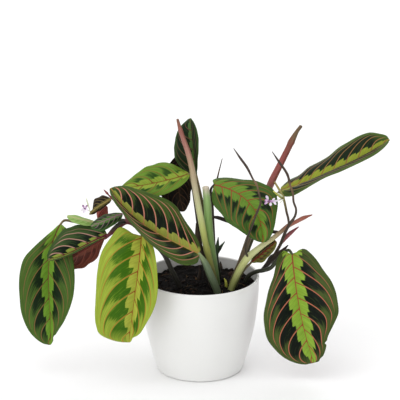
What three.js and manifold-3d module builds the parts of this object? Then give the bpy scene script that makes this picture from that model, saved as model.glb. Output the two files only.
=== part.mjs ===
// Potted prayer plant (Maranta leuconeura): a plain white cover pot filled with peat, patterned leaf
// blades on thin petioles, bare stalks left by old shoots, and a few spindly flower stalks.
// Millimetres, +Z up. The pot stands on z = 0 with its axis on the Z axis; the plant faces -Y.
import * as THREE from 'three';
import { mergeVertices } from 'three/addons/utils/BufferGeometryUtils.js';
import Module from 'manifold-3d';

const POT_HEIGHT = 108;
const RIM_RADIUS = 65.2;
const FOOT_RADIUS = 45;
const WALL = 2.8; // wall of the pot
const FLOOR = 4; // thickness of the pot's base
const SOIL_TOP = 99; // height of the peat at the middle of the pot
const PLANT_BASE = 4; // the plant's own heights are measured from this far above the table
const GAP = 0.3; // air kept between pieces that touch on the real plant
const BLADE = 1.4; // thickness given to a leaf blade
const SEAT = 1; // a petiole stops this far short of the point of the blade it carries

const wasm = await Module();
wasm.setup();

const plant = new THREE.Group();
plant.name = 'potted_prayer_plant';

// ---------------------------------------------------------------- building helpers

function addPiece(name, geometry, colour, roughness) {
  const material = new THREE.MeshStandardMaterial({ color: colour, roughness, metalness: 0 });
  const mesh = new THREE.Mesh(geometry, material);
  mesh.name = name;
  plant.add(mesh);
}

const vector = (p) => new THREE.Vector3(p[0], p[1], p[2] + PLANT_BASE);

// Closed geometry from points and triangles; triangles that collapse onto an edge are left out.
function solid(points, triangles) {
  const geometry = new THREE.BufferGeometry();
  geometry.setAttribute('position', new THREE.Float32BufferAttribute(points.flatMap((p) => p.toArray()), 3));
  const proper = triangles.filter(([a, b, c]) => {
    const side = points[b].clone().sub(points[a]);
    return side.cross(points[c].clone().sub(points[a])).length() > 1e-6;
  });
  geometry.setIndex(proper.flat());
  return mergeVertices(geometry, 1e-4);
}

function toManifold(geometry) {
  const bare = new THREE.BufferGeometry();
  bare.setAttribute('position', geometry.getAttribute('position'));
  bare.setIndex(geometry.getIndex());
  const merged = mergeVertices(bare, 1e-4);
  return new wasm.Manifold(new wasm.Mesh({
    numProp: 3,
    vertProperties: Float32Array.from(merged.getAttribute('position').array),
    triVerts: Uint32Array.from(merged.getIndex().array),
  }));
}

function fromManifold(manifold) {
  const mesh = manifold.getMesh();
  const geometry = new THREE.BufferGeometry();
  geometry.setAttribute('position', new THREE.Float32BufferAttribute(mesh.vertProperties, 3));
  geometry.setIndex(Array.from(mesh.triVerts));
  return geometry;
}

// A solid turned on the Z axis from (radius, height) points that start and end on the axis.
function turned(profile, segments) {
  const lathe = new THREE.LatheGeometry(profile.map(([r, z]) => new THREE.Vector2(r, z)), segments);
  lathe.rotateX(Math.PI / 2);
  return mergeVertices(lathe.deleteAttribute('normal').deleteAttribute('uv'), 1e-4);
}

// ---------------------------------------------------------------- stalks and petioles

// A round tapering rod through [x, y, z, radius] points, with flat ends; `grow` fattens it and
// lengthens it at both ends by the same amount.
function rodGeometry(route, sides, grow = 0) {
  const path = new THREE.CatmullRomCurve3(route.map(vector), false, 'centripetal');
  const spans = route.length - 1;
  const rings = Math.ceil(spans * 1.6);
  const points = [];
  const across = new THREE.Vector3();
  for (let i = 0; i <= rings; i++) {
    const t = i / rings;
    const along = path.getTangent(t);
    const overrun = i === 0 ? -grow : i === rings ? grow : 0;
    const centre = path.getPoint(t).addScaledVector(along, overrun);
    if (i === 0) across.set(0, 1, 0).cross(along);
    across.addScaledVector(along, -across.dot(along)).normalize();
    const other = along.clone().cross(across);
    const place = Math.min(t * spans, spans - 1e-9);
    const radius = grow + THREE.MathUtils.lerp(
      route[Math.floor(place)][3], route[Math.floor(place) + 1][3], place % 1);
    for (let j = 0; j < sides; j++) {
      const angle = (2 * Math.PI * j) / sides;
      points.push(centre.clone()
        .addScaledVector(across, radius * Math.cos(angle))
        .addScaledVector(other, radius * Math.sin(angle)));
    }
  }
  const triangles = [];
  for (let i = 0; i < rings; i++) {
    for (let j = 0; j < sides; j++) {
      const a = i * sides + j;
      const b = i * sides + (j + 1) % sides;
      triangles.push([a, b, b + sides], [a, b + sides, a + sides]);
    }
  }
  const last = rings * sides;
  for (let j = 1; j < sides - 1; j++) {
    triangles.push([0, j + 1, j], [last, last + j, last + j + 1]);
  }
  return solid(points, triangles);
}

// ---------------------------------------------------------------- leaf blades

// Width of a half blade along the leaf, 0 at both ends and 1 at its widest place.
function halfWidth(u, { skew, round }) {
  return Math.max(0, Math.sin(Math.PI * u ** skew)) ** round;
}

// How far a half blade reaches sideways at u, as a vector square to the midrib.
function reachAt(u, along, half) {
  const rows = half.reach;
  let k = 0;
  while (k < rows.length - 2 && u > rows[k + 1][0]) k++;
  const next = Math.min(k + 1, rows.length - 1);
  const span = rows[next][0] - rows[k][0];
  const mix = span > 0 ? THREE.MathUtils.clamp((u - rows[k][0]) / span, 0, 1) : 0;
  const full = (row) => new THREE.Vector3(row[1], row[2], row[3]).divideScalar(halfWidth(row[0], half));
  const reach = full(rows[k]).lerp(full(rows[next]), mix);
  return reach.addScaledVector(along, -reach.dot(along)).multiplyScalar(halfWidth(u, half));
}

// A thin closed blade: rows of points from the base to the tip, each from the left edge over the
// midrib to the right edge, arched a little between midrib and edge, and then given a thickness.
function bladeGeometry(leaf, rows, columns) {
  const midrib = new THREE.CubicBezierCurve3(...leaf.midrib.map(vector));
  const arch = 0.12;
  const grid = [];
  for (let i = 0; i <= rows; i++) {
    const u = (1 - Math.cos((Math.PI * i) / rows)) / 2;
    const centre = midrib.getPoint(u);
    const along = midrib.getTangent(u);
    const lobing = (u / 0.05) * Math.exp(1 - u / 0.05);
    grid.push([]);
    for (let j = 0; j <= columns; j++) {
      const v = (2 * j) / columns - 1;
      const half = v < 0 ? leaf.left : leaf.right;
      const reach = reachAt(u, along, half);
      const up = along.clone().cross(reach).multiplyScalar(v < 0 ? 1 : -1);
      const out = Math.abs(v);
      grid[i].push(centre.clone()
        .addScaledVector(reach, out)
        .addScaledVector(up, arch * 4 * out * (1 - out))
        .addScaledVector(along, -half.lobe * out ** 1.5 * lobing));
    }
  }
  const normal = (i, j) => {
    const row = THREE.MathUtils.clamp(i, 1, rows - 1);
    const lengthways = grid[row + 1][j].clone().sub(grid[row - 1][j]);
    const sideways = grid[row][Math.min(j + 1, columns)].clone().sub(grid[row][Math.max(j - 1, 0)]);
    return sideways.cross(lengthways).normalize();
  };
  const points = [];
  for (const side of [1, -1]) {
    for (let i = 0; i <= rows; i++) {
      for (let j = 0; j <= columns; j++) {
        const middle = i === 0 || i === rows ? columns / 2 : j;
        points.push(grid[i][j].clone().addScaledVector(normal(i, middle), (side * BLADE) / 2));
      }
    }
  }
  const width = columns + 1;
  const under = (rows + 1) * width;
  const triangles = [];
  for (let i = 0; i < rows; i++) {
    for (let j = 0; j < columns; j++) {
      const a = i * width + j;
      const b = a + width;
      triangles.push([a, a + 1, b + 1], [a, b + 1, b]);
      triangles.push([under + a, under + b + 1, under + a + 1], [under + a, under + b, under + b + 1]);
    }
    const left = i * width;
    const right = left + columns;
    triangles.push([left, left + width, under + left + width], [left, under + left + width, under + left]);
    triangles.push([right, under + right + width, right + width]);
    triangles.push([right, under + right, under + right + width]);
  }
  return solid(points, triangles);
}

// One row per leaf. `midrib` holds the four control points of its curve from base to tip. A half
// blade's `reach` rows are [place along the midrib, then the sideways reach there in x, y and z];
// `skew` moves its widest place, `round` blunts its ends and `lobe` is how far its base lobe hangs
// back past the petiole. `petiole` is the route of the stalk that carries it, from foot to base, and
// `seat` is its distance from the blade where the blade meets it at a steep angle.
const leaves = [
  {
    name: 'far_left',
    colour: 0x3f6b2c,
    midrib: [[-150, -22, 170], [-174, -26, 128], [-158, -38, 83], [-163, -42, 38]],
    left: {
      skew: 0.85, round: 0.55, lobe: 3,
      reach: [
        [0.1, 17, -6, -2], [0.2, 23, -8, -2], [0.3, 27, -10, -1], [0.4, 29, -12, 1],
        [0.5, 29, -14, 2], [0.6, 27, -14, 3], [0.7, 22, -13, 2], [0.8, 15, -10, 1],
        [0.9, 6, -4, 0], [0.96, 3, -2, 0],
      ],
    },
    right: {
      skew: 1.2, round: 0.5, lobe: 0,
      reach: [
        [0.05, -3, 0, 1], [0.1, -7, -1, 2], [0.2, -16, -3, 4], [0.3, -27, -6, 4],
        [0.4, -30, -9, 3], [0.5, -31, -11, 2], [0.6, -31, -10, 2], [0.7, -31, -7, 1],
        [0.8, -28, -4, 1], [0.9, -22, -2, 2],
      ],
    },
    on: ['stem_left'],
    petiole: [
      [-66, -33, 170.5, 1.5], [-83, -24, 175, 1.8], [-103, -20, 169, 1.7], [-120, -19, 168, 1.6],
      [-136, -17, 171, 1.5], [-146, -17.5, 172.5, 1.4],
    ],
  },
  {
    name: 'left_folded',
    colour: 0x2f5a2e,
    midrib: [[-99, -38, 162], [-117, -40, 156], [-138, -46, 142], [-163, -48, 138]],
    left: {
      skew: 1, round: 0.6, lobe: 0,
      reach: [[0.3, 1, -6, 1], [0.7, 1, -6, 0]],
    },
    right: {
      skew: 1, round: 0.55, lobe: 2,
      reach: [
        [0.1, -5, 7, 9], [0.2, -7, 10, 14], [0.3, -10, 12, 17], [0.4, -12, 13, 19],
        [0.5, -11, 11, 20], [0.6, -11, 10, 21], [0.7, -9, 8, 20], [0.8, -6, 6, 17], [0.9, -4, 5, 12],
      ],
    },
    on: ['stem_left'],
    seat: 1.6,
    petiole: [[-79, -33, 175.5, 1.5], [-84, -37.5, 177, 1.9], [-92, -38.5, 170.5, 1.9]],
  },
  {
    name: 'left_underside',
    colour: 0x6e2f26,
    midrib: [[-102, -30, 157], [-118, -28, 145], [-140, -26, 131], [-162, -24, 120]],
    left: {
      skew: 1, round: 0.6, lobe: 0,
      reach: [[0.3, -7, 9, 12], [0.65, -8, 8, 14]],
    },
    right: {
      skew: 1.1, round: 0.6, lobe: 0,
      reach: [
        [0.05, 1, 0, -2], [0.1, 3, 1, -3], [0.2, 5, 2, -7], [0.3, 8, 3, -12], [0.4, 9, 4, -14],
        [0.5, 9, 6, -14], [0.6, 10, 7, -16], [0.7, 8, 7, -13], [0.8, 7, 5, -11], [0.9, 4, 3, -8],
      ],
    },
    carrier: 'stem_left',
    petiole: [
      [-23, -16, 76, 2.6], [-22, -16, 94, 2.7], [-31, -20, 117, 2.7], [-39, -26, 137, 2.6],
      [-53, -32, 156, 2.6], [-67, -33, 171, 2.6], [-78, -33, 176, 2.6], [-90, -31, 167, 2.3],
    ],
  },
  {
    name: 'front_left',
    colour: 0x8aa838,
    midrib: [[-62, -52, 167], [-63, -64, 142], [-71, -74, 97], [-76, -70, 52.5]],
    left: {
      skew: 0.9, round: 0.5, lobe: 1,
      reach: [
        [0.1, 12, -8, 2], [0.2, 16, -11, 2], [0.3, 19, -12, 1], [0.4, 21, -14, 0],
        [0.5, 23, -15, -1], [0.6, 23, -15, -1], [0.7, 20, -14, -2], [0.8, 15, -10, -2],
        [0.9, 10, -6, -2], [0.96, 3, -2, -1],
      ],
    },
    right: {
      skew: 1, round: 0.4, lobe: 11,
      reach: [
        [0.02, -19, -1, 1], [0.05, -24, -1, 2], [0.1, -30, -1, 3], [0.2, -39, -1, 4],
        [0.3, -42, -2, 6], [0.4, -42, -3, 7], [0.5, -42, -4, 7], [0.6, -41, -5, 7],
        [0.7, -40, -4, 6], [0.8, -39, -3, 5], [0.9, -35, -3, 5], [0.96, -30, -3, 3],
      ],
    },
    on: ['stem_left'],
    petiole: [[-47, -29.5, 148, 1.5], [-53, -38, 160, 1.9], [-58, -44, 168, 1.8]],
  },
  {
    name: 'centre',
    colour: 0x24452a,
    midrib: [[-1, -34, 140], [-29, -44, 159], [-72, -57, 178], [-95, -46, 218]],
    left: {
      skew: 1, round: 0.5, lobe: 3,
      reach: [
        [0.1, -1, -17, -10], [0.2, -2, -24, -12], [0.3, -1, -28, -11], [0.4, 0, -30, -9],
        [0.5, -1, -31, -6], [0.6, -1, -27, -4], [0.7, -1, -23, -1], [0.8, -1, -17, 0],
        [0.9, -2, -13, 0],
      ],
    },
    right: {
      skew: 1, round: 0.5, lobe: 0,
      reach: [
        [0.1, 5, 10, 12], [0.2, 8, 15, 17], [0.3, 12, 16, 23], [0.4, 16, 15, 27],
        [0.5, 19, 13, 28], [0.6, 20, 12, 26], [0.7, 19, 11, 22], [0.8, 18, 10, 18],
        [0.9, 15, 7, 12], [0.96, 12, 6, 7],
      ],
    },
    seat: 1.6,
    petiole: [[22, -31, 80, 3.8], [18, -31, 98, 4], [11, -33, 116, 4], [6, -34, 129, 3.4]],
  },
  {
    name: 'upper_left',
    colour: 0x5d8a35,
    midrib: [[-12, -2, 220], [-32, -4, 213], [-58, -10, 210], [-85, -18, 208]],
    left: {
      skew: 1, round: 0.6, lobe: 2,
      reach: [
        [0.05, 1, -6, -2], [0.1, 2, -8, -4], [0.2, 3, -12, -6], [0.3, 4, -14, -7],
        [0.5, 4, -14, -10], [0.7, 4, -11, -10], [0.9, 2, -6, -6],
      ],
    },
    right: {
      skew: 1, round: 0.5, lobe: 1,
      reach: [
        [0.05, -1, 4, 3], [0.1, -2, 8, 6], [0.2, -4, 15, 11], [0.3, -5, 18, 14], [0.4, -6, 17, 15],
        [0.5, -5, 14, 15], [0.6, -5, 14, 15], [0.7, -4, 13, 11], [0.8, -4, 11, 8], [0.9, -2, 8, 5],
        [0.96, -1, 4, 3],
      ],
    },
    seat: 1.6,
    petiole: [
      [14, 1, 77, 1.7], [13, 1, 94, 1.8], [7, -4, 128, 1.8], [2, -6, 160, 1.8], [-3, -5, 186, 1.7],
      [-8, -3, 209, 1.6],
    ],
  },
  {
    name: 'drooping_back',
    colour: 0x2c2418,
    midrib: [[-19, 16, 242], [-21, 24, 217], [-28, 22, 194], [-17, 12, 173]],
    left: {
      skew: 1, round: 0.6, lobe: 0,
      reach: [
        [0.1, -6, -1, 1], [0.2, -11, -2, 1], [0.4, -17, -4, 2], [0.6, -20, -6, 1],
        [0.7, -20, -6, -1], [0.9, -11, -4, -2],
      ],
    },
    right: {
      skew: 1, round: 0.6, lobe: 0,
      reach: [
        [0.2, 9, -5, -2], [0.4, 13, -8, -1], [0.6, 14, -10, 2], [0.7, 12, -10, 4],
        [0.8, 11, -8, 5], [0.9, 9, -6, 5],
      ],
    },
    petiole: [
      [6, 14, 75, 1.8], [6, 15, 93, 1.8], [0, 18, 138, 1.8], [-5, 21, 177, 1.7], [-11, 28, 216, 1.6],
      [-15, 28, 237, 1.5], [-17.5, 23, 245, 1.4],
    ],
  },
  {
    name: 'top_rolled',
    colour: 0x2e5030,
    midrib: [[-4, 4, 217], [-4, 0, 241], [-10, 4, 264], [-10, 14, 278]],
    left: {
      skew: 1, round: 0.6, lobe: 2,
      reach: [
        [0.02, -8, 3, 0], [0.05, -13, 5, 0], [0.1, -16, 6, 0], [0.2, -20, 8, -1],
        [0.4, -21, 8, -4], [0.6, -19, 8, -4], [0.7, -17, 8, -4], [0.8, -14, 7, -4],
        [0.9, -9, 4, -3], [0.96, -4, 2, -2],
      ],
    },
    right: {
      skew: 1, round: 0.6, lobe: 0,
      reach: [
        [0.1, 1, -5, -1], [0.2, 2, -8, 0], [0.3, 3, -11, 1], [0.4, 4, -12, 2], [0.5, 5, -14, 3],
        [0.6, 6, -15, 5], [0.7, 6, -12, 5], [0.8, 5, -9, 5], [0.9, 3, -6, 3], [0.96, 1, -3, 1],
      ],
    },
    petiole: [
      [18, 8, 75, 1.8], [16, 8, 94, 1.8], [13, 6, 119, 1.8], [8, 4, 149, 1.8], [4, 4, 178, 1.7],
      [-1, 4, 202, 1.6],
    ],
  },
  {
    name: 'centre_right',
    colour: 0x4c7a30,
    midrib: [[15, 0, 207], [39, -4, 204], [69, -18, 191], [67, -34, 153]],
    left: {
      skew: 1, round: 0.5, lobe: 6,
      reach: [
        [0.1, 3, 12, 5], [0.2, 5, 13, 8], [0.3, 8, 14, 10], [0.4, 13, 12, 14], [0.5, 18, 9, 16],
        [0.6, 24, 6, 16], [0.7, 23, 1, 12], [0.8, 17, -2, 6], [0.9, 12, -2, 3],
      ],
    },
    right: {
      skew: 0.9, round: 0.5, lobe: 4,
      reach: [
        [0.1, -5, -16, -16], [0.2, -10, -18, -18], [0.3, -15, -19, -18], [0.4, -20, -18, -17],
        [0.5, -25, -16, -15], [0.6, -28, -17, -11], [0.7, -29, -16, -5], [0.8, -27, -16, -1],
        [0.9, -21, -11, 2],
      ],
    },
    seat: 2,
    petiole: [
      [21, 1, 76, 1.8], [19, 1, 93, 1.8], [16, 0, 119, 1.8], [15, -1, 144, 1.8], [14, -1, 167, 1.7],
      [13, -1, 187, 1.6], [11.5, -1, 198, 1.5], [12, -0.5, 203, 1.4],
    ],
  },
  {
    name: 'far_right',
    colour: 0x3f6a2c,
    midrib: [[88, 4, 200], [122, 6, 210], [164, 4, 228], [203, -4, 259]],
    left: {
      skew: 1.05, round: 0.42, lobe: 3,
      reach: [
        [0.05, -1, 9, 1], [0.1, -1, 14, 3], [0.2, -1, 16, 4], [0.3, -2, 23, 8], [0.4, -3, 22, 9],
        [0.5, -3, 24, 10], [0.6, -5, 23, 14], [0.7, -5, 20, 15], [0.8, -6, 20, 15],
        [0.9, -5, 16, 13], [0.96, -3, 9, 7],
      ],
    },
    right: {
      skew: 0.95, round: 0.45, lobe: 4,
      reach: [
        [0.1, 1, -20, -4], [0.2, 1, -23, -1], [0.3, 0, -22, 1], [0.4, 0, -22, 3],
        [0.5, -1, -21, 3], [0.6, -2, -21, 2], [0.7, -2, -21, 1], [0.8, -2, -20, 0],
        [0.9, -2, -18, -1], [0.96, -1, -13, -1],
      ],
    },
    petiole: [
      [40, 8, 76, 2], [41, 9, 93, 2], [51, 12, 123, 2], [64, 14, 157, 1.9], [75, 12, 180, 1.8],
      [82, 8, 192, 1.7],
    ],
  },
  {
    name: 'lower_right',
    colour: 0x24452a,
    midrib: [[100, -14, 133], [103, -36, 100], [109, -48, 64], [124, -46, 19]],
    left: {
      skew: 0.95, round: 0.5, lobe: 7.5,
      reach: [
        [0.02, 11, -3, 3], [0.05, 15, -4, 4], [0.1, 23, -5, 5], [0.2, 30, -9, 9],
        [0.3, 37, -12, 11], [0.4, 40, -14, 12], [0.5, 40, -16, 13], [0.6, 39, -15, 12],
        [0.7, 31, -12, 9], [0.8, 21, -9, 6.5], [0.9, 16, -7, 5],
      ],
    },
    right: {
      skew: 1, round: 0.5, lobe: 9,
      reach: [
        [0.1, -17, 1, -2], [0.2, -22, 0, -3], [0.3, -29, -2, -3], [0.4, -34, -5, -4],
        [0.5, -39, -8, -5], [0.6, -40, -6, -8], [0.7, -40, -3, -10], [0.8, -35, -1, -10],
        [0.9, -27, 0, -9],
      ],
    },
    seat: 2.3,
    petiole: [
      [48, 6, 74, 2.2], [49, 5, 91, 2.3], [54, 3, 102, 2.4], [62, 0, 107.5, 2.4], [69, -3, 110, 2.4],
      [77, -6, 114, 2.3], [84, -7, 123, 2.2], [91, -7, 132, 1.9], [96.5, -9, 135.5, 1.7],
    ],
  },
  {
    name: 'under_stalk',
    colour: 0x5f6a2a,
    midrib: [[56, -10, 122], [66, -10, 131], [75, -9, 138.5], [83, -8.5, 145.5]],
    left: {
      skew: 0.8, round: 0.6, lobe: 0,
      reach: [
        [0.1, 2, -1, -3], [0.2, 5, -2, -5], [0.3, 5, -2, -6], [0.4, 5, -2, -5], [0.6, 4, -2, -5],
        [0.8, 3, -1, -4], [0.9, 2, -1, -2],
      ],
    },
    right: {
      skew: 1, round: 0.6, lobe: 0,
      reach: [[0.45, -5, 12, 4]],
    },
    petiole: [[38, -11, 78, 1.5], [40, -11, 96, 1.5], [47, -11, 112, 1.4]],
  },
  {
    name: 'young_pale',
    colour: 0x8fb060,
    small: true,
    midrib: [[-111.4, -29.3, 174.6], [-121, -34, 177], [-132, -36, 182], [-142, -34, 183]],
    left: {
      skew: 1, round: 0.6, lobe: 0,
      reach: [[0.2, 0, -3, -4], [0.5, -1, -4, -4.5], [0.8, -1, -3, -4]],
    },
    right: {
      skew: 1, round: 0.6, lobe: 0,
      reach: [[0.2, -1, 3, 1], [0.5, 0, 5, 1], [0.8, 1, 4, 1]],
    },
  },
  {
    name: 'small_left',
    colour: 0x48703a,
    small: true,
    midrib: [[-82.8, -29.4, 184.2], [-93, -43, 185], [-104, -50, 181], [-116, -50, 177]],
    left: {
      skew: 1, round: 0.6, lobe: 0,
      reach: [
        [0.1, 2, -2, -3], [0.3, 4, -4, -5], [0.5, 4, -5, -6], [0.7, 4, -5, -7], [0.8, 3, -6, -7],
        [0.9, 2, -4, -5],
      ],
    },
    right: {
      skew: 1, round: 0.6, lobe: 0,
      reach: [[0.5, -4, 8, 2.5]],
    },
  },
  {
    name: 'young_pink',
    colour: 0xa05a50,
    small: true,
    midrib: [[-109.5, -27.3, 177], [-108, -28, 186], [-103, -28, 189], [-99, -26, 191]],
    left: {
      skew: 1, round: 0.6, lobe: 0,
      reach: [[0.5, 6, 4, -7]],
    },
    right: {
      skew: 1, round: 0.6, lobe: 0,
      reach: [[0.5, -3, 8, 4]],
    },
  },
  {
    name: 'dried',
    colour: 0x3a2c1c,
    small: true,
    midrib: [[-95, -27, 200.2], [-101, -34, 198], [-111, -40, 195], [-118, -41, 187]],
    left: {
      skew: 1, round: 0.6, lobe: 0,
      reach: [[0.1, 1, 0, -2], [0.3, 2, 0, -3], [0.5, 2, 0, -4], [0.7, 2, 0, -4], [0.9, 2, 0, -2]],
    },
    right: {
      skew: 1, round: 0.6, lobe: 0,
      reach: [
        [0.1, -6, 5, 3], [0.2, -7, 7, 3], [0.4, -7, 9, 3], [0.5, -7, 9, 3], [0.6, -5, 8, 2],
        [0.7, -3, 5, 1], [0.8, -1, 2, 0], [0.9, -1, 2, 0],
      ],
    },
  },
];

for (const leaf of leaves) {
  const [rows, columns] = leaf.small ? [8, 4] : [12, 6];
  addPiece(`leaf_${leaf.name}`, bladeGeometry(leaf, rows, columns), leaf.colour, 0.45);
}

// ---------------------------------------------------------------- rods: petioles, stalks, sprouts

const rods = new Map();

for (const leaf of leaves.filter((each) => each.petiole)) {
  const base = new THREE.Vector3(...leaf.midrib[0]);
  const [x, y, z, radius] = leaf.petiole.at(-1);
  const back = new THREE.Vector3(x, y, z).sub(base).setLength(leaf.seat ?? SEAT);
  const end = base.add(back);
  rods.set(leaf.carrier ?? `petiole_${leaf.name}`, {
    route: [...leaf.petiole, [end.x, end.y, end.z, 0.85 * radius]],
    colour: 0x55622f,
    on: leaf.on,
  });
}

// Every other rod. `on` names the rods that it grows out of or lies against; a rod with none stands
// in the peat. A `prong` is a second tip that grows out of the same rod.
rods.set('stalk_pale', {
  colour: 0xa9b57c,
  route: [
    [20, -19, 77, 3], [17, -19, 97, 3.1], [11, -20, 126, 3.2], [6, -20, 147, 3.3], [2, -19, 169, 3.4],
    [-2, -17, 190, 3.2], [-6, -14, 213, 3], [-9, -11, 231, 3], [-13, -8, 247, 2.9],
    [-17, -6, 258, 2.6], [-21, -4, 270, 2.2], [-24, -1, 281, 1.3],
  ],
});
rods.set('stalk_cut', {
  colour: 0x7fa050,
  route: [
    [22, -8, 75, 3.2], [19, -8, 95, 3.3], [15, -9, 122, 3.8], [11, -10, 148, 4.3], [9, -10, 168, 4.4],
    [8, -9, 187, 4.2], [6, -8, 207, 3.5],
  ],
});
rods.set('sheath_dark', {
  colour: 0x33281f,
  route: [
    [15, -14, 80, 1.6], [12, -14, 97, 2.2], [5, -14, 120, 2.8], [0, -14, 139, 3.2], [-3, -14, 154, 2.6],
    [-4, -14, 168, 0.6],
  ],
});
rods.set('stalk_tall_red', {
  colour: 0x8a4a45,
  route: [
    [31, -4, 76, 2.6], [34, -4, 94, 2.7], [44, -2, 119, 2.9], [54, 2, 148, 3], [64, 6, 173, 3.3],
    [72, 8, 193, 3.7], [78, 8, 209, 3.8], [86, 6, 227, 3.4], [94, 4, 245, 3.2], [100, 2, 259, 3],
    [104, 1, 267, 2], [108, 0, 273, 1.8],
  ],
});
rods.set('stalk_bent_pale', {
  colour: 0xc0c488,
  route: [
    [30, -20, 76, 3.3], [34, -20, 95, 3.6], [44, -20, 119, 3.8], [53, -19, 132, 3.7],
    [60, -18, 138, 3.4], [69, -17, 145, 2.9], [78, -16, 151, 2.6], [87, -14, 158, 2.3],
    [96, -12, 165, 2.2], [104, -11, 169, 2.2], [112, -10, 173, 2.3], [121, -9, 176, 0.6],
  ],
});
rods.set('branch_brown', {
  colour: 0x4a3530,
  on: ['petiole_centre_right', 'stalk_bent_pale'],
  route: [
    [14, -1, 171, 1.2], [20, 2, 169, 2], [32, 8, 163, 2.2], [55, 10, 157, 2.1], [71, 4, 154, 2],
    [86, -13, 157, 1.8],
  ],
});
rods.set('sheath_right', {
  colour: 0x1d1f18,
  on: ['petiole_lower_right'],
  route: [
    [67, -2, 109.5, 1.4], [74, 2, 115.5, 2.6], [79, 3, 121.5, 3.8], [87, 2, 127.5, 3.2],
    [96, 0, 138, 0.5],
  ],
});
rods.set('flower_stalk_right', {
  colour: 0x4a3a2c,
  on: ['sheath_right'],
  route: [
    [79, 3, 121.5, 1.6], [83, 0, 130, 1.8], [87, -8, 141, 1.8], [89.5, -18, 152.5, 1.7],
    [92, -22, 161, 1.6], [96, -22, 169, 1.5], [102, -22, 179, 1.3], [103, -24, 187, 1.2],
    [100, -27, 197, 1.2], [99, -29, 207, 1.2], [96, -29, 216, 1.1], [93, -26, 227, 1.5],
    [83, -20, 241, 1.2], [77, -15, 249, 0.4],
  ],
});
rods.set('flower_stalk_middle', {
  colour: 0x6a6a34,
  on: ['flower_stalk_right'],
  route: [
    [95.5, -22, 168, 1], [95, -20, 175, 1.3], [93, -20, 183, 1.3], [91, -21, 193, 1.3],
    [89, -21, 200, 1.3], [85, -21, 208, 1.3], [80, -19, 216, 1],
  ],
});
rods.set('flower_stalk_left', {
  colour: 0x43382a,
  on: ['stalk_bent_pale'],
  route: [
    [52, -20, 131, 1.1], [50, -25, 137.5, 1.2], [49, -31, 147, 1.2], [51, -46, 163.5, 1.1],
    [55, -57, 180, 1.1], [60, -58, 195, 1], [64, -51, 204, 1.2], [62, -43, 212.5, 1], [60, -36, 219, 1],
    [56, -31, 224, 1], [50, -25, 234.5, 1.4], [43, -21, 243.5, 1.3], [36, -17, 253, 0.4],
  ],
});
rods.set('flower_spike_back', {
  colour: 0x43382a,
  on: ['petiole_centre_right'],
  route: [[13.3, -0.6, 186, 0.8], [16, 8, 197, 0.9], [19, 14, 211, 0.9], [24, 12, 233, 0.4]],
});
rods.set('spike_red', {
  colour: 0x8a4450,
  on: ['flower_stalk_right'],
  route: [
    [87, -8, 141, 1.2], [90.5, -4, 145, 2], [94, -3, 149, 2.4], [99, -2, 153.5, 2.2],
    [107, -1, 159.5, 0.6],
  ],
});
rods.set('shoot_left', {
  colour: 0x6a3a2c,
  on: ['stem_left'],
  route: [[-77, -33, 176, 1.5], [-82, -27, 186, 1.7], [-89, -25, 195, 1.6], [-97, -25, 203, 0.9]],
});
rods.set('shoot_young', {
  colour: 0x6d7a45,
  on: ['petiole_far_left'],
  route: [[-88, -23, 174, 1.2], [-96, -26, 177, 1.4], [-104, -27.5, 176, 1.2], [-110.5, -28.5, 175, 1]],
});
rods.set('bud_red', {
  colour: 0x9a3f38,
  route: [[-97.6, -25, 203.6, 0.7], [-99.5, -25, 206, 1.4], [-102.5, -25, 209.5, 0.5]],
});
rods.set('sprout_brown', {
  colour: 0x5a3c28,
  route: [[-1, 14, 78, 1.2], [-1, 14, 94, 2.2], [0, 14, 102, 1.6], [-1, 14, 110, 0.4]],
});
rods.set('sprout_green', {
  colour: 0xa8a83a,
  route: [[28, -12, 84, 1], [28.5, -13, 96, 1.7], [28, -14, 101, 1.4], [26.5, -15, 105, 0.5]],
});
rods.set('sprout_stub', {
  colour: 0x1d1a14,
  route: [[23, 50, 80, 1.5], [23, 50, 94, 2.6], [23, 50, 98, 1.4], [23, 50, 101, 0.4]],
});
rods.set('flower_left', {
  colour: 0xe9e2ee,
  route: [
    [-116.7, -40, 190.5, 0.6], [-119.5, -39.5, 191.5, 0.9], [-122, -39.5, 193, 2.4],
    [-123.5, -39.5, 194, 0.8],
  ],
});
rods.set('flower_right', {
  colour: 0xe6d3ea,
  on: ['flower_stalk_middle'],
  route: [
    [90, -21, 199, 0.7], [86, -23.5, 198, 0.8], [80, -27, 197.5, 1.2], [75, -29, 198, 1.3],
    [72, -29.5, 198.3, 3.2], [69.5, -30, 198.6, 1],
  ],
});
rods.set('bract_right', {
  colour: 0xc9c07a,
  on: ['flower_stalk_middle', 'flower_right'],
  route: [[89.5, -21, 198, 0.7], [86, -25, 201, 0.9], [81, -29, 207, 1], [78, -31, 210, 0.5]],
});
rods.set('sprout_forked', {
  colour: 0x1f241a,
  route: [[24, 16, 78, 1.4], [22, 15, 98, 1.6], [18, 12, 122, 2.4], [19, 12, 132, 2.4], [20, 12, 143, 0.5]],
  prong: [[18.2, 12, 124, 1.2], [21.5, 12, 130, 2.2], [27, 12, 138, 0.5]],
});

const sidesOf = (rod) => (Math.max(...rod.route.map((p) => p[3])) > 2.8 ? 9 : 7);
const PEAT_REACH = SOIL_TOP - 5 - PLANT_BASE; // a rod whose foot lies lower than this stands in the peat

for (const [name, rod] of rods) {
  let geometry = rodGeometry(rod.route, sidesOf(rod));
  if (rod.prong) {
    const prong = toManifold(rodGeometry(rod.prong, sidesOf(rod)));
    geometry = fromManifold(toManifold(geometry).add(prong));
  }
  for (const host of rod.on ?? []) {
    const clear = rodGeometry(rods.get(host).route, sidesOf(rods.get(host)), GAP);
    geometry = fromManifold(toManifold(geometry).subtract(toManifold(clear)));
  }
  addPiece(name, geometry, rod.colour, 0.55);
}

// ---------------------------------------------------------------- pot and peat

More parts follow.
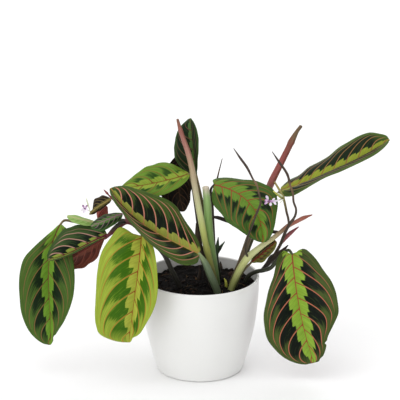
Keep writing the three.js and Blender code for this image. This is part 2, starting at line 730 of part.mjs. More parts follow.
// Outline of the pot's outside above its rounded foot, as [radius, height].
const outsideCurve = new THREE.SplineCurve([
  new THREE.Vector2(48.5, 3.5),
  new THREE.Vector2(53.4, 23),
  new THREE.Vector2(60, 48),
  new THREE.Vector2(64.1, 80),
  new THREE.Vector2(RIM_RADIUS, POT_HEIGHT - WALL / 2),
]);
const outside = outsideCurve.getPoints(8).map((p) => [p.x, p.y]);
const inside = outside.map(([r, z]) => [r - WALL, z]).filter(([, z]) => z > FLOOR + 3).reverse();
const lip = [36, 72, 108, 144].map((degrees) => {
  const angle = THREE.MathUtils.degToRad(degrees);
  return [
    RIM_RADIUS - WALL / 2 + (WALL / 2) * Math.cos(angle),
    POT_HEIGHT - WALL / 2 + (WALL / 2) * Math.sin(angle),
  ];
});
const innerFoot = inside.at(-1)[0] - 3;
const potProfile = [
  [0, 0], [FOOT_RADIUS, 0], [FOOT_RADIUS + 2.4, 1.1], ...outside, ...lip,
  ...inside, [innerFoot, FLOOR], [0, FLOOR],
];
addPiece('pot', turned(potProfile, 44), 0xf2f2f0, 0.35);

// The peat fills the pot up to a slightly domed top, with a socket round every rod that stands in it.
const peatWall = inside.filter(([, z]) => z < SOIL_TOP - 6).map(([r, z]) => [r - GAP, z]).reverse();
const rimOfPeat = RIM_RADIUS - WALL - 0.5 - GAP;
const peatProfile = [
  [0, FLOOR + GAP], [innerFoot - GAP, FLOOR + GAP], ...peatWall,
  [rimOfPeat, SOIL_TOP - 3], [48, SOIL_TOP - 1], [24, SOIL_TOP], [0, SOIL_TOP + 0.5],
];
let peat = toManifold(turned(peatProfile, 44));
for (const rod of rods.values()) {
  if (rod.route[0][2] >= PEAT_REACH) continue;
  peat = peat.subtract(toManifold(rodGeometry(rod.route, sidesOf(rod), GAP)));
}
addPiece('peat', fromManifold(peat), 0x1c1512, 0.95);

export default plant;
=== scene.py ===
# A potted prayer plant: white cover pot, peat, patterned leaves on thin petioles, bare old stalks
# and a few spent flower stalks. Sizes are in millimetres until a mesh is made; +Z is up, -Y is front.
import collections
import math

import bmesh
import bpy
import numpy as np
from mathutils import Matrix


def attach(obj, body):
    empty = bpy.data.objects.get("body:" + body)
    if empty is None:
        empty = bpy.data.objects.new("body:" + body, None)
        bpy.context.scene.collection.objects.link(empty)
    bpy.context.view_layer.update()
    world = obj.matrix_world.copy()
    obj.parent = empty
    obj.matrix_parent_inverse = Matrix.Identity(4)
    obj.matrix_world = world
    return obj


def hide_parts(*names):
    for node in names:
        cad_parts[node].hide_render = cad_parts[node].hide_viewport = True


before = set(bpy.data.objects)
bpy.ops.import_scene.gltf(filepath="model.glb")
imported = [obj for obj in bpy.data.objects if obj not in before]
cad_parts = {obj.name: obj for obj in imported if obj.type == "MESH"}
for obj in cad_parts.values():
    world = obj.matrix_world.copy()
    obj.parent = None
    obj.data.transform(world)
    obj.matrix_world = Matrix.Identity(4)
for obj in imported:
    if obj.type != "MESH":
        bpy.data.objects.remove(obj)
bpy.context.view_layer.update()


# ---------------------------------------------------------------- view
# A long lens a little above the pot, looking slightly down on a plain white table in a white room.
VIEW_HEIGHT_MM = 194
VIEW_DISTANCE_MM = 2100
VIEW_TILT = math.radians(18)
LENS_MM = 174.5
SENSOR_MM = 36

camera = bpy.data.objects.new("camera", bpy.data.cameras.new("camera"))
camera.data.lens = LENS_MM
camera.data.sensor_width = SENSOR_MM
camera.location = (
    0,
    -VIEW_DISTANCE_MM * math.cos(VIEW_TILT) / 1000,
    (VIEW_HEIGHT_MM + VIEW_DISTANCE_MM * math.sin(VIEW_TILT)) / 1000,
)
camera.rotation_euler = (math.pi / 2 - VIEW_TILT, 0, 0)
bpy.context.scene.collection.objects.link(camera)
bpy.context.scene.camera = camera


# ---------------------------------------------------------------- table and light
# Matt white laminate table, large enough to fill the view, in broad soft light from above.
TABLE_HALF_M = 6


def add(tree, kind, inputs=(), **settings):
    """Adds a node to tree, with its settings; inputs gives values, nodes or sockets by name or by place."""
    node = tree.nodes.new("ShaderNode" + kind)
    for key, value in settings.items():
        setattr(node, key, value)
    given = inputs.items() if isinstance(inputs, dict) else enumerate(inputs)
    for key, value in given:
        usable = [socket for socket in node.inputs if socket.enabled]
        socket = usable[key] if isinstance(key, int) else next(s for s in usable if s.name == key)
        if isinstance(value, bpy.types.Node):
            value = next(output for output in value.outputs if output.enabled)
        if isinstance(value, bpy.types.NodeSocket):
            tree.links.new(value, socket)
        else:
            socket.default_value = value
    return node


def linear(code):
    """Turns an sRGB hex colour such as "8db63c" into linear red, green, blue and alpha."""
    parts = [int(code[k:k + 2], 16) / 255 for k in (0, 2, 4)]
    return tuple(p / 12.92 if p <= 0.04045 else ((p + 0.055) / 1.055) ** 2.4 for p in parts) + (1,)


def new_material(name):
    """An empty node material, as (material, its tree)."""
    material = bpy.data.materials.new(name)
    material.use_nodes = True
    material.node_tree.nodes.clear()
    return material, material.node_tree


def finish_material(tree, inputs):
    """Ends the tree with a principled shader of those inputs, linked to the surface output."""
    add(tree, "OutputMaterial", {"Surface": add(tree, "BsdfPrincipled", inputs)})


def set_colours(ramp, colours):
    """Gives a colour ramp its (position, hex colour) pairs, in rising order."""
    stops = ramp.color_ramp.elements
    while len(stops) < len(colours):
        stops.new(0.5)
    for stop, (position, code) in zip(stops, colours):
        stop.position = position
        stop.color = linear(code)


matt_white, tree = new_material("matt_white_table")
grain = add(tree, "TexNoise", {"Scale": 30.0, "Detail": 3.0})
tone = add(tree, "MapRange", {"Value": grain, "To Min": 0.93, "To Max": 0.95})
finish_material(tree, {"Base Color": tone, "Roughness": 0.8, "Specular IOR Level": 0.2})

table_mesh = bpy.data.meshes.new("table")
corners = [(-1, -1), (1, -1), (1, 1), (-1, 1)]
table_mesh.from_pydata([(TABLE_HALF_M * x, TABLE_HALF_M * y, 0) for x, y in corners], [], [(0, 1, 2, 3)])
table_mesh.materials.append(matt_white)
table = bpy.data.objects.new("table", table_mesh)
bpy.context.scene.collection.objects.link(table)


def ceiling_light(name, power, spread, side, front):
    """Broad even light of that power per square metre from a patch of the sky spread degrees wide,
    whose middle is side degrees to the left of the zenith and front degrees in front of it."""
    light = bpy.data.lights.new(name, "SUN")
    light.energy = power
    light.angle = math.radians(spread)
    lamp = bpy.data.objects.new(name, light)
    lamp.rotation_euler = (math.radians(front), math.radians(-side), 0)
    bpy.context.scene.collection.objects.link(lamp)


ceiling_light("overhead", power=2.0, spread=120, side=0, front=-25)
ceiling_light("key_front_left", power=1.5, spread=70, side=32, front=48)

world = bpy.data.worlds.new("white_room")
world.use_nodes = True
background = world.node_tree.nodes["Background"]
background.inputs["Color"].default_value = (1, 1, 1, 1)
background.inputs["Strength"].default_value = 0.35
bpy.context.scene.world = world
bpy.context.scene.view_settings.view_transform = "Standard"


# ---------------------------------------------------------------- pot
# Cover pot of cast white earthenware with a satin glaze: one turned wall, a rolled lip, a flat foot.
# Its outlines are (radius, height) points.
POT_HEIGHT = 108
POT_RIM_RADIUS = 65.2
POT_WALL = 2.8
POT_FLOOR = 4
POT_SEGMENTS = 192
POT_ROWS = 60
LIP_ROWS = 14
POT_OUTSIDE = [(48.5, 3.5), (54, 23), (59.8, 48), (63.9, 80), (POT_RIM_RADIUS, 106.6)]
POT_FOOT = [(0, 0), (40, 0), (43.6, 0), (45, 0), (46.3, 0.35), (47.4, 1.1), (48.1, 2.2)]


def smooth_path(points, count):
    """Centripetal Catmull-Rom curve: between two points a cubic whose end slopes come from the four
    nearest points, spaced by the square roots of their distances. Gives count positions and slopes."""
    p = np.array(points, float)
    p = np.vstack([2 * p[0] - p[1], p, 2 * p[-1] - p[-2]])
    t = np.linspace(0, len(points) - 1, count)
    k = np.minimum(t.astype(int), len(points) - 2)
    w = (t - k)[:, None]
    p0, p1, p2, p3 = p[k], p[k + 1], p[k + 2], p[k + 3]
    d0, d1, d2 = (np.linalg.norm(b[:, :3] - a[:, :3], axis=1)[:, None] ** 0.5
                  for a, b in ((p0, p1), (p1, p2), (p2, p3)))
    m1 = ((p1 - p0) / d0 - (p2 - p0) / (d0 + d1) + (p2 - p1) / d1) * d1
    m2 = ((p2 - p1) / d1 - (p3 - p1) / (d1 + d2) + (p3 - p2) / d2) * d1
    c2 = -3 * p1 + 3 * p2 - 2 * m1 - m2
    c3 = 2 * p1 - 2 * p2 + m1 + m2
    return p1 + m1 * w + c2 * w ** 2 + c3 * w ** 3, m1 + 2 * c2 * w + 3 * c3 * w ** 2


def mesh_object(name, points, faces, material, attributes=None):
    """A smooth-shaded mesh from an (n, 3) array of millimetre points and faces. Equal points are merged,
    so seams and poles are closed, and the faces are turned outwards if the volume they enclose comes out
    negative. attributes gives named (n, 3) arrays kept on the points."""
    mesh = bpy.data.meshes.new(name)
    mesh.from_pydata(points / 1000, [], faces)
    for key, values in (attributes or {}).items():
        layer = mesh.attributes.new(key, "FLOAT_VECTOR", "POINT")
        layer.data.foreach_set("vector", np.ascontiguousarray(values, np.float32).ravel())
    work = bmesh.new()
    work.from_mesh(mesh)
    bmesh.ops.remove_doubles(work, verts=work.verts, dist=2e-6)
    bmesh.ops.dissolve_degenerate(work, edges=work.edges, dist=1e-7)
    if work.calc_volume(signed=True) < 0:
        bmesh.ops.reverse_faces(work, faces=work.faces)
    work.to_mesh(mesh)
    work.free()
    mesh.shade_smooth()
    mesh.materials.append(material)
    piece = bpy.data.objects.new(name, mesh)
    bpy.context.scene.collection.objects.link(piece)
    return piece


def grid_faces(rows, columns, wrap=False):
    """Quads of a grid whose points are numbered along each row; wrap joins the last column to the first."""
    i, j = np.meshgrid(np.arange(rows - 1), np.arange(columns if wrap else columns - 1), indexing="ij")
    a = i * columns + j
    b = i * columns + (j + 1) % columns
    return np.stack([a, b, b + columns, a + columns], axis=-1).reshape(-1, 4)


def copies(faces, points, count):
    """The faces of count like shapes, of that many points each, stored one after another."""
    return (faces[None] + points * np.arange(count)[:, None, None]).reshape(-1, faces.shape[-1])


def keep(piece, slot, *nodes):
    """The piece moves with the one body and stands for those nodes; slot is not used."""
    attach(piece, "root")
    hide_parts(*nodes)


def carried_round(radius, height, angle):
    """Points of (radius, height) at each angle round the Z axis, as an array with one row a radius."""
    return np.stack([radius * np.cos(angle), radius * np.sin(angle), height + 0 * angle], axis=-1)


# Satin tin glaze on earthenware: white, soft broad highlights, a faint unevenness of the surface.
satin_glaze, tree = new_material("satin_white_glaze")
place = add(tree, "TexCoord").outputs["Object"]
cloud = add(tree, "TexNoise", {"Vector": place, "Scale": 22.0, "Detail": 4.0})
shade = add(tree, "ValToRGB", [cloud])
set_colours(shade, [(0, "e4e4e2"), (1, "ebebe9")])
ripple = add(tree, "TexNoise", {"Vector": place, "Scale": 90.0, "Detail": 2.0})
relief = add(tree, "Bump", {"Height": ripple, "Strength": 0.05, "Distance": 0.001})
gloss = add(tree, "MapRange", {"Value": cloud, "To Min": 0.3, "To Max": 0.4})
finish_material(tree, {
    "Base Color": shade, "Roughness": gloss, "Normal": relief, "IOR": 1.5,
    "Coat Weight": 0.15, "Coat Roughness": 0.3})

outer, _ = smooth_path(POT_OUTSIDE, POT_ROWS)
lip_angle = np.radians(np.linspace(12, 168, LIP_ROWS))[:, None]
lip_centre = np.array([POT_RIM_RADIUS - POT_WALL / 2, POT_HEIGHT - POT_WALL / 2])
lip = lip_centre + POT_WALL / 2 * np.hstack([np.cos(lip_angle), np.sin(lip_angle)])
inner = (outer - [POT_WALL, 0])[outer[:, 1] > POT_FLOOR + 3][::-1]
bottom = [(inner[-1][0] - 1, POT_FLOOR + 1), (inner[-1][0] - 3, POT_FLOOR), (30, POT_FLOOR), (0, POT_FLOOR)]
profile = np.vstack([POT_FOOT, outer, lip, inner, bottom])
angle = np.linspace(0, 2 * np.pi, POT_SEGMENTS, endpoint=False)[None, :]
turned = carried_round(profile[:, :1], profile[:, 1:], angle)
pot = mesh_object("cover_pot", turned.reshape(-1, 3), grid_faces(len(profile), POT_SEGMENTS, wrap=True),
                  satin_glaze)
keep(pot, "pot", "pot")


# ---------------------------------------------------------------- peat
# Dark sphagnum peat, heaped a little in the middle: a lumpy top with loose crumbs and fibres on it.
SOIL_TOP = 99
SOIL_HEAP = 3
SOIL_LUMPS = [(1.6, 14, 1), (1.2, 6, 2), (0.8, 2.6, 3)]  # height, pitch and seed of each size of lump
PEAT_RADIUS = POT_RIM_RADIUS - POT_WALL - 0.8
PEAT_RINGS = 60
PEAT_SEGMENTS = 150
PEAT_GAP = 0.4
LATTICE_VALUES = 4096
LATTICE_STRIDES = (73, 1259, 3011)


def value_noise(x, y, z, seed):
    """Smooth noise from -1 to 1: random values on a unit lattice, blended by the smoothstep curve."""
    table = np.random.default_rng(seed).uniform(-1, 1, LATTICE_VALUES)
    cell = [np.floor(c).astype(int) for c in (x, y, z)]
    fade = [(c - k) ** 2 * (3 - 2 * (c - k)) for c, k in zip((x, y, z), cell)]
    total = 0
    for dx, dy, dz in np.ndindex(2, 2, 2):
        key = sum((c + d) * stride for c, d, stride in zip(cell, (dx, dy, dz), LATTICE_STRIDES))
        weight = 1
        for f, d in zip(fade, (dx, dy, dz)):
            weight = weight * (f if d else 1 - f)
        total = total + weight * table[key % LATTICE_VALUES]
    return total


def soil_height(x, y, radius, calm=1):
    """Height of the heaped top: SOIL_TOP in the middle, lower by SOIL_HEAP times the square of the share
    of the peat's radius, with three sizes of lumps of noise, weakened by calm."""
    lumps = sum(size * value_noise(x / pitch, y / pitch, 0 * x, seed) for size, pitch, seed in SOIL_LUMPS)
    return SOIL_TOP - SOIL_HEAP * (radius / PEAT_RADIUS) ** 2 + lumps * calm


# Damp peat: near-black brown crumbs, matt, a little paler where the noise peaks.
damp_peat, tree = new_material("damp_peat")
place = add(tree, "TexCoord").outputs["Object"]
crumb = add(tree, "TexNoise", {"Vector": place, "Scale": 260.0, "Detail": 8.0, "Roughness": 0.7})
tint = add(tree, "ValToRGB", [crumb])
set_colours(tint, [(0.35, "040302"), (0.6, "0e0a08"), (0.75, "1c120e")])
relief = add(tree, "Bump", {"Height": crumb, "Strength": 0.8, "Distance": 0.002})
finish_material(tree, {"Base Color": tint, "Roughness": 0.9, "Normal": relief, "Specular IOR Level": 0.1})

angle = np.linspace(0, 2 * np.pi, PEAT_SEGMENTS, endpoint=False)[None, :]
radius = np.linspace(0, PEAT_RADIUS, PEAT_RINGS)[:, None]
x, y = radius * np.cos(angle), radius * np.sin(angle)
top = np.stack([x, y, soil_height(x, y, radius, calm=np.clip(radius / 3, 0, 1))], axis=-1)
# down the inside of the pot and in over its floor, as (share of the pot's inner radius, height)
depths = np.array([(1, 94), (1, 64), (0.99, 54), (0.86, 24), (0.72, 6), (0.4, 4.4), (0, 4.4)])
wall = depths[:, 0] * (np.interp(depths[:, 1], outer[:, 1], outer[:, 0]) - POT_WALL - PEAT_GAP)
soil = np.concatenate([top, carried_round(wall[:, None], depths[:, 1:], angle)])
peat = mesh_object("peat_bed", soil.reshape(-1, 3), grid_faces(len(soil), PEAT_SEGMENTS, wrap=True),
                   damp_peat)
keep(peat, "peat", "peat")


# Loose crumbs and bits of bark lie on the peat: dark lumps, a few reddish ones, short dry fibres.
CRUMBS = 900
CRUMB_SPREAD = 0.97
FIBRES = 90
FIBRE_SPREAD = 0.82
FIBRE_RINGS = 7
FIBRE_SIDES = 3
FIBRE_RADIUS = 0.16
dice = np.random.default_rng(5)


def on_peat(count, reach):
    """Random places on the heaped top, even in area out to that share of its radius."""
    turn = dice.uniform(0, 2 * np.pi, count)
    far = PEAT_RADIUS * reach * np.sqrt(dice.uniform(0, 1, count))
    px, py = far * np.cos(turn), far * np.sin(turn)
    return np.stack([px, py, soil_height(px, py, far)], axis=-1)


def tilted(shapes):
    """Turns each of the (n, k, 3) point sets by its own random rotation."""
    q = dice.normal(size=(len(shapes), 4))
    w, i, j, k = (q / np.linalg.norm(q, axis=1)[:, None]).T
    turn = np.array([
        [1 - 2 * (j * j + k * k), 2 * (i * j - k * w), 2 * (i * k + j * w)],
        [2 * (i * j + k * w), 1 - 2 * (i * i + k * k), 2 * (j * k - i * w)],
        [2 * (i * k - j * w), 2 * (j * k + i * w), 1 - 2 * (i * i + j * j)]])
    return np.einsum("abn,nkb->nka", turn, shapes)


def scatter(name, points, faces, picks):
    """Like shapes as one piece of peat, from (count, points, 3) positions, each coloured by its pick."""
    pick = np.repeat(picks, points.shape[1])
    piece = mesh_object(name, points.reshape(-1, 3), copies(faces, points.shape[1], len(points)),
                        crumb_skin, {"pick": np.stack([pick] * 3, axis=-1)})
    keep(piece, "peat", "peat")


crumb_skin, tree = new_material("peat_crumb_and_bark")
pick = add(tree, "SeparateXYZ", [add(tree, "Attribute", attribute_name="pick").outputs["Vector"]])
tone = add(tree, "ValToRGB", [pick])
set_colours(tone, [(0, "060504"), (0.5, "0c0806"), (0.72, "20140e"), (0.9, "33201a"), (1, "8a7048")])
speck = add(tree, "TexNoise", {"Vector": add(tree, "TexCoord").outputs["Object"], "Scale": 900.0})
relief = add(tree, "Bump", {"Height": speck, "Strength": 0.5, "Distance": 0.0005})
finish_material(tree, {"Base Color": tone, "Roughness": 0.85, "Normal": relief, "Specular IOR Level": 0.2})

ball = bmesh.new()
bmesh.ops.create_icosphere(ball, subdivisions=1, radius=1)
lump = np.array([list(v.co) for v in ball.verts])
lump_faces = np.array([[v.index for v in f.verts] for f in ball.faces])
ball.free()
size = dice.lognormal(-0.15, 0.45, (CRUMBS, 1, 1)) * dice.uniform(0.6, 1.3, (CRUMBS, 1, 3))
lumps = tilted(lump[None] * size * dice.uniform(0.75, 1.25, (CRUMBS, len(lump), 1)))
lumps = lumps + on_peat(CRUMBS, CRUMB_SPREAD)[:, None]
scatter("peat_crumbs", lumps, lump_faces, dice.uniform(0, 0.93, CRUMBS))

# a fibre is a thin three-sided thread, bent into an arc that rises out of the peat
arc = np.linspace(-1, 1, FIBRE_RINGS)[None, :, None]
turn = (2 * np.pi * np.arange(FIBRE_SIDES) / FIBRE_SIDES)[None, None, :]
long = dice.uniform(3, 9, (FIBRES, 1, 1))
thick = FIBRE_RADIUS * (1 - arc ** 4)
ahead, aside = long * arc + 0 * turn, thick * np.cos(turn) + 0 * long
spin = dice.uniform(0, 2 * np.pi, (FIBRES, 1, 1))
thread = np.stack([
    ahead * np.cos(spin) - aside * np.sin(spin), ahead * np.sin(spin) + aside * np.cos(spin),
    0.25 * long * (1 - arc ** 2) + thick * np.sin(turn)], axis=-1).reshape(FIBRES, -1, 3)
thread = thread + on_peat(FIBRES, FIBRE_SPREAD)[:, None]
scatter("peat_fibres", thread, grid_faces(FIBRE_RINGS, FIBRE_SIDES, wrap=True), dice.uniform(0.6, 1, FIBRES))


# ---------------------------------------------------------------- stems and bare stalks
# Living stems are fleshy and finely ribbed; old shoots were cut and have dried pink, tan or black.
PLANT_BASE = np.array([0, 0, 4])  # the plant's own heights are measured from here
CAP_RINGS = 5
FEWEST_RINGS = 12
MEASURING_POINTS = 400


def tube(route, sides=16, step=1.2, rib=0.0, ribs=7, swellings=(), dome=(1, 1)):
    """Round section carried along a smooth curve through [x, y, z, radius] points. The radius follows
    the points, swells by a bell at each (place, extra, width), and is ribbed by a cosine round the
    section; each end closes in a dome whose height is that share of the radius."""
    rough, _ = smooth_path(route, MEASURING_POINTS)
    length = np.linalg.norm(np.diff(rough[:, :3], axis=0), axis=1).sum()
    count = max(FEWEST_RINGS, int(length / step))
    path, slope = smooth_path(route, count)
    centre = path[:, :3]
    along = slope[:, :3] / np.linalg.norm(slope[:, :3], axis=1)[:, None]
    radius = np.interp(np.linspace(0, len(route) - 1, count), np.arange(len(route)), [p[3] for p in route])
    travel = np.concatenate([[0], np.cumsum(np.linalg.norm(np.diff(centre, axis=0), axis=1))])
    for place, extra, width in swellings:
        radius = radius + extra * np.exp(-((travel / length - place) * length / width) ** 2)
    cap = np.linspace(0, np.pi / 2, CAP_RINGS + 1)[:-1]
    ends = []
    for end, direction in ((0, -1), (-1, 1)):
        ring = centre[end] + direction * along[end] * radius[end] * dome[end] * np.cos(cap)[:, None]
        ends.append((ring, np.repeat(along[end][None], CAP_RINGS, 0), radius[end] * np.sin(cap),
                     travel[[end] * CAP_RINGS]))
    tail = [part[::-1] for part in ends[1]]
    centre, along, radius, travel = (
        np.concatenate([a, b, c]) for a, b, c in zip(ends[0], (centre, along, radius, travel), tail))
    across = np.empty_like(along)
    guide = np.cross([0, 1, 0], along[0])
    for k, direction in enumerate(along):
        guide = guide - direction * guide.dot(direction)
        guide = guide / np.linalg.norm(guide)
        across[k] = guide
    other = np.cross(along, across)
    angle = np.linspace(0, 2 * np.pi, sides, endpoint=False)[None, :, None]
    wide = (radius[:, None] * (1 + rib * np.cos(ribs * angle[..., 0])))[..., None]
    points = centre[:, None] + wide * (across[:, None] * np.cos(angle) + other[:, None] * np.sin(angle))
    turn = np.broadcast_to(angle[..., 0], wide.shape[:2])
    far = np.broadcast_to(travel[:, None], wide.shape[:2])
    run = np.stack([far / length, np.cos(turn), np.sin(turn)], axis=-1)
    return points.reshape(-1, 3), grid_faces(len(radius), sides, wrap=True), run.reshape(-1, 3)


def stalk_skin(name, colours, streak="3a2a20", streaks=0.35, roughness=0.5):
    """Skin of a stalk: colours given at places along it, with fine darker streaks that run lengthways."""
    material, tree = new_material(name)
    run = add(tree, "Attribute", attribute_name="run").outputs["Vector"]
    parts = add(tree, "SeparateXYZ", [run])
    wander = add(tree, "TexNoise", {"Vector": run, "Scale": 6.0, "Detail": 2.0})
    shift = add(tree, "MapRange", {"Value": wander, "To Min": -0.06, "To Max": 0.06})
    place = add(tree, "Math", [parts, shift], operation="ADD")
    ramp = add(tree, "ValToRGB", [place])
    set_colours(ramp, colours)
    stretch = add(tree, "Mapping", {"Vector": run, "Scale": (5, 9, 9)})
    lines = add(tree, "TexNoise", {"Vector": stretch, "Scale": 1.0, "Detail": 4.0, "Roughness": 0.6})
    mask = add(tree, "MapRange", {"Value": lines, "From Min": 0.5, "From Max": 0.72, "To Max": streaks})
    skin = add(tree, "Mix", {"Factor": mask, "A": ramp, "B": linear(streak)}, data_type="RGBA")
    relief = add(tree, "Bump", {"Height": lines, "Strength": 0.35, "Distance": 0.0006})
    gloss = add(tree, "MapRange", {"Value": lines, "To Min": roughness - 0.08, "To Max": roughness + 0.1})
    finish_material(tree, {"Base Color": skin, "Roughness": gloss, "Normal": relief, "IOR": 1.45})
    return material


def stalk(name, slot, skin, route, **shape):
    """One stalk piece of that skin, standing for the node of its slot."""
    points, faces, run = tube(route, **shape)
    keep(mesh_object(name, points + PLANT_BASE, faces, skin, {"run": run}), slot, slot)


# Bare fleshy stalks of cut or withered shoots, finely ribbed: green where alive, pale and then pink
# where they dry. The two dried ones swell a little where old leaves grew.
green_skin = stalk_skin("green_stalk_skin", [
    (0.0, "37402a"), (0.2, "4f6338"), (0.45, "6b8a48"), (0.75, "7fa257"), (0.93, "8fae6c"),
    (1.0, "cdbfae")], streak="4a6038", streaks=0.55)
stalk("stalk_cut_green", "stalk_cut", green_skin, [
    [22, -8, 75, 3.2], [19, -8, 95, 3.3], [15, -9, 122, 3.8], [11, -10, 148, 4.3], [9, -10, 168, 4.4],
    [8, -9, 187, 4.2], [6, -8, 207, 3.5]], sides=28, rib=0.03, ribs=9, dome=(1, 0.4))

pale_skin = stalk_skin("pale_stalk_skin", [
    (0.0, "4a4228"), (0.2, "66662f"), (0.3, "868a3c"), (0.42, "b0b866"), (0.52, "c0c48c"),
    (0.62, "bab290"), (0.74, "ae987a"), (0.84, "a67468"), (0.93, "945a50"), (0.985, "84523f"),
    (1.0, "6a4632")], streak="6a5a34", streaks=0.5)
stalk("stalk_pale_tall", "stalk_pale", pale_skin, [
    [20, -19, 77, 3], [17, -19, 97, 3.1], [11, -20, 126, 3.2], [6, -20, 147, 3.3], [2, -19, 169, 3.4],
    [-2, -17, 190, 3.2], [-6, -14, 213, 3], [-9, -11, 231, 3], [-13, -8, 247, 2.9],
    [-17, -6, 258, 2.6], [-21, -4, 270, 2.2], [-24, -1, 281, 1.3]],
    sides=28, rib=0.035, ribs=6, swellings=[(0.3, 0.5, 5), (0.94, 0.25, 3)], dome=(1, 0.4))

bent_skin = stalk_skin("bent_stalk_skin", [
    (0.0, "55583a"), (0.2, "7d8347"), (0.38, "b5ba78"), (0.52, "d0d59c"), (0.64, "c9c493"),
    (0.71, "b39a78"), (0.76, "8d6a50"), (0.86, "a4604f"), (1.0, "8a4538")],
    streak="8d8450", streaks=0.4)
stalk("stalk_bent", "stalk_bent_pale", bent_skin, [
    [30, -20, 76, 3.3], [34, -20, 95, 3.6], [44, -20, 119, 3.8], [53, -19, 132, 3.7],
    [60, -18, 138, 3.4], [69, -17, 145, 2.9], [78, -16, 151, 2.6], [87, -14, 158, 2.3],
    [96, -12, 165, 2.2], [104, -11, 169, 2.2], [112, -10, 173, 2.3], [121, -9, 176, 0.6]],
    sides=26, rib=0.04, ribs=5, swellings=[(0.4, 0.4, 5), (0.8, 0.3, 5)])

# The tall shoot on the right is wrapped in a dry brick-red sheath and ends in a brown stub.
red_skin = stalk_skin("red_sheath_skin", [
    (0.0, "3a3422"), (0.25, "5d5236"), (0.45, "7d6a58"), (0.56, "a08a80"), (0.66, "95544e"),
    (0.8, "8f4742"), (0.9, "7c4638"), (0.94, "6b5536"), (1.0, "5d4a30")],
    streak="5f2f2c", streaks=0.5)
stalk("stalk_red_tall", "stalk_tall_red", red_skin, [
    [31, -4, 76, 2.6], [34, -4, 94, 2.7], [44, -2, 119, 2.9], [54, 2, 148, 3], [64, 6, 173, 3.3],
    [72, 8, 193, 3.7], [78, 8, 209, 3.8], [86, 6, 227, 3.4], [94, 4, 245, 3.2], [100, 2, 259, 3],
    [104, 1, 267, 2], [108, 0, 273, 1.8]],
    sides=24, rib=0.06, ribs=4, swellings=[(0.9, 0.5, 3)], dome=(1, 0.5))

# Black-brown sheaths of dead leaves, dry and deeply ribbed, and a dry branch of the same colour.
dead_skin = stalk_skin("dead_sheath_skin", [
    (0.0, "17120e"), (0.5, "2a2019"), (0.85, "3b2c22"), (1.0, "1d1712")],
    streak="6b5a48", streaks=0.35, roughness=0.7)
stalk("sheath_dark_left", "sheath_dark", dead_skin, [
    [15, -14, 80, 1.6], [12, -14, 97, 2.2], [5, -14, 120, 2.8], [0, -14, 139, 3.2], [-3, -14, 154, 2.6],
    [-4, -14, 168, 0.6]], rib=0.12, ribs=5)
stalk("sheath_dark_right", "sheath_right", dead_skin, [
    [67, -2, 109.5, 1.4], [74, 2, 115.5, 2.6], [79, 3, 121.5, 3.8], [87, 2, 127.5, 3.2],
    [96, 0, 138, 0.5]], sides=24, rib=0.12, ribs=5)
stalk("branch_brown_low", "branch_brown", dead_skin, [
    [14, -1, 171, 1.2], [20, 2, 169, 2], [32, 8, 163, 2.2], [55, 10, 157, 2.1], [71, 4, 154, 2],
    [86, -13, 157, 1.8]], rib=0.06)

# Spent flower stalks: thin and wiry, brown or olive, three of them swollen at their joints.
wiry_skin = stalk_skin("wiry_flower_stalk_skin", [
    (0.0, "3d3428"), (0.3, "2e261c"), (0.62, "443224"), (0.72, "7a6046"), (0.76, "3c2a20"),
    (1.0, "30221c")], streak="6a5a40", streaks=0.4, roughness=0.6)
stalk("flower_stalk_right_wiry", "flower_stalk_right", wiry_skin, [
    [79, 3, 121.5, 1.6], [83, 0, 130, 1.8], [87, -8, 141, 1.8], [89.5, -18, 152.5, 1.7],
    [92, -22, 161, 1.6], [96, -22, 169, 1.5], [102, -22, 179, 1.3], [103, -24, 187, 1.2],
    [100, -27, 197, 1.2], [99, -29, 207, 1.2], [96, -29, 216, 1.1], [93, -26, 227, 1.5],
    [83, -20, 241, 1.2], [77, -15, 249, 0.4]],
    sides=12, step=0.9, swellings=[(0.42, 0.4, 2.5), (0.75, 0.5, 2)])
olive_wiry_skin = stalk_skin("olive_flower_stalk_skin", [
    (0.0, "3d2f26"), (0.3, "4a3a2c"), (0.6, "7c7440"), (0.8, "a09a58"), (1.0, "8a7a4a")],
    streak="3d3026", streaks=0.4, roughness=0.6)
stalk("flower_stalk_middle_wiry", "flower_stalk_middle", olive_wiry_skin, [
    [95.5, -22, 168, 1], [95, -20, 175, 1.3], [93, -20, 183, 1.3], [91, -21, 193, 1.3],
    [89, -21, 200, 1.3], [85, -21, 208, 1.3], [80, -19, 216, 1]],
    sides=12, step=0.9, swellings=[(0.65, 0.5, 2)])
stalk("flower_stalk_left_wiry", "flower_stalk_left", wiry_skin, [
    [52, -20, 131, 1.1], [50, -25, 137.5, 1.2], [49, -31, 147, 1.2], [51, -46, 163.5, 1.1],
    [55, -57, 180, 1.1], [60, -58, 195, 1], [64, -51, 204, 1.2], [62, -43, 212.5, 1], [60, -36, 219, 1],
    [56, -31, 224, 1], [50, -25, 234.5, 1.4], [43, -21, 243.5, 1.3], [36, -17, 253, 0.4]],
    sides=12, step=0.9, swellings=[(0.5, 0.4, 2), (0.72, 0.45, 2)])
stalk("flower_spike_thin", "flower_spike_back", wiry_skin, [
    [13.3, -0.6, 186, 0.8], [16, 8, 197, 0.9], [19, 14, 211, 0.9], [24, 12, 233, 0.4]],
    sides=10, step=0.9)

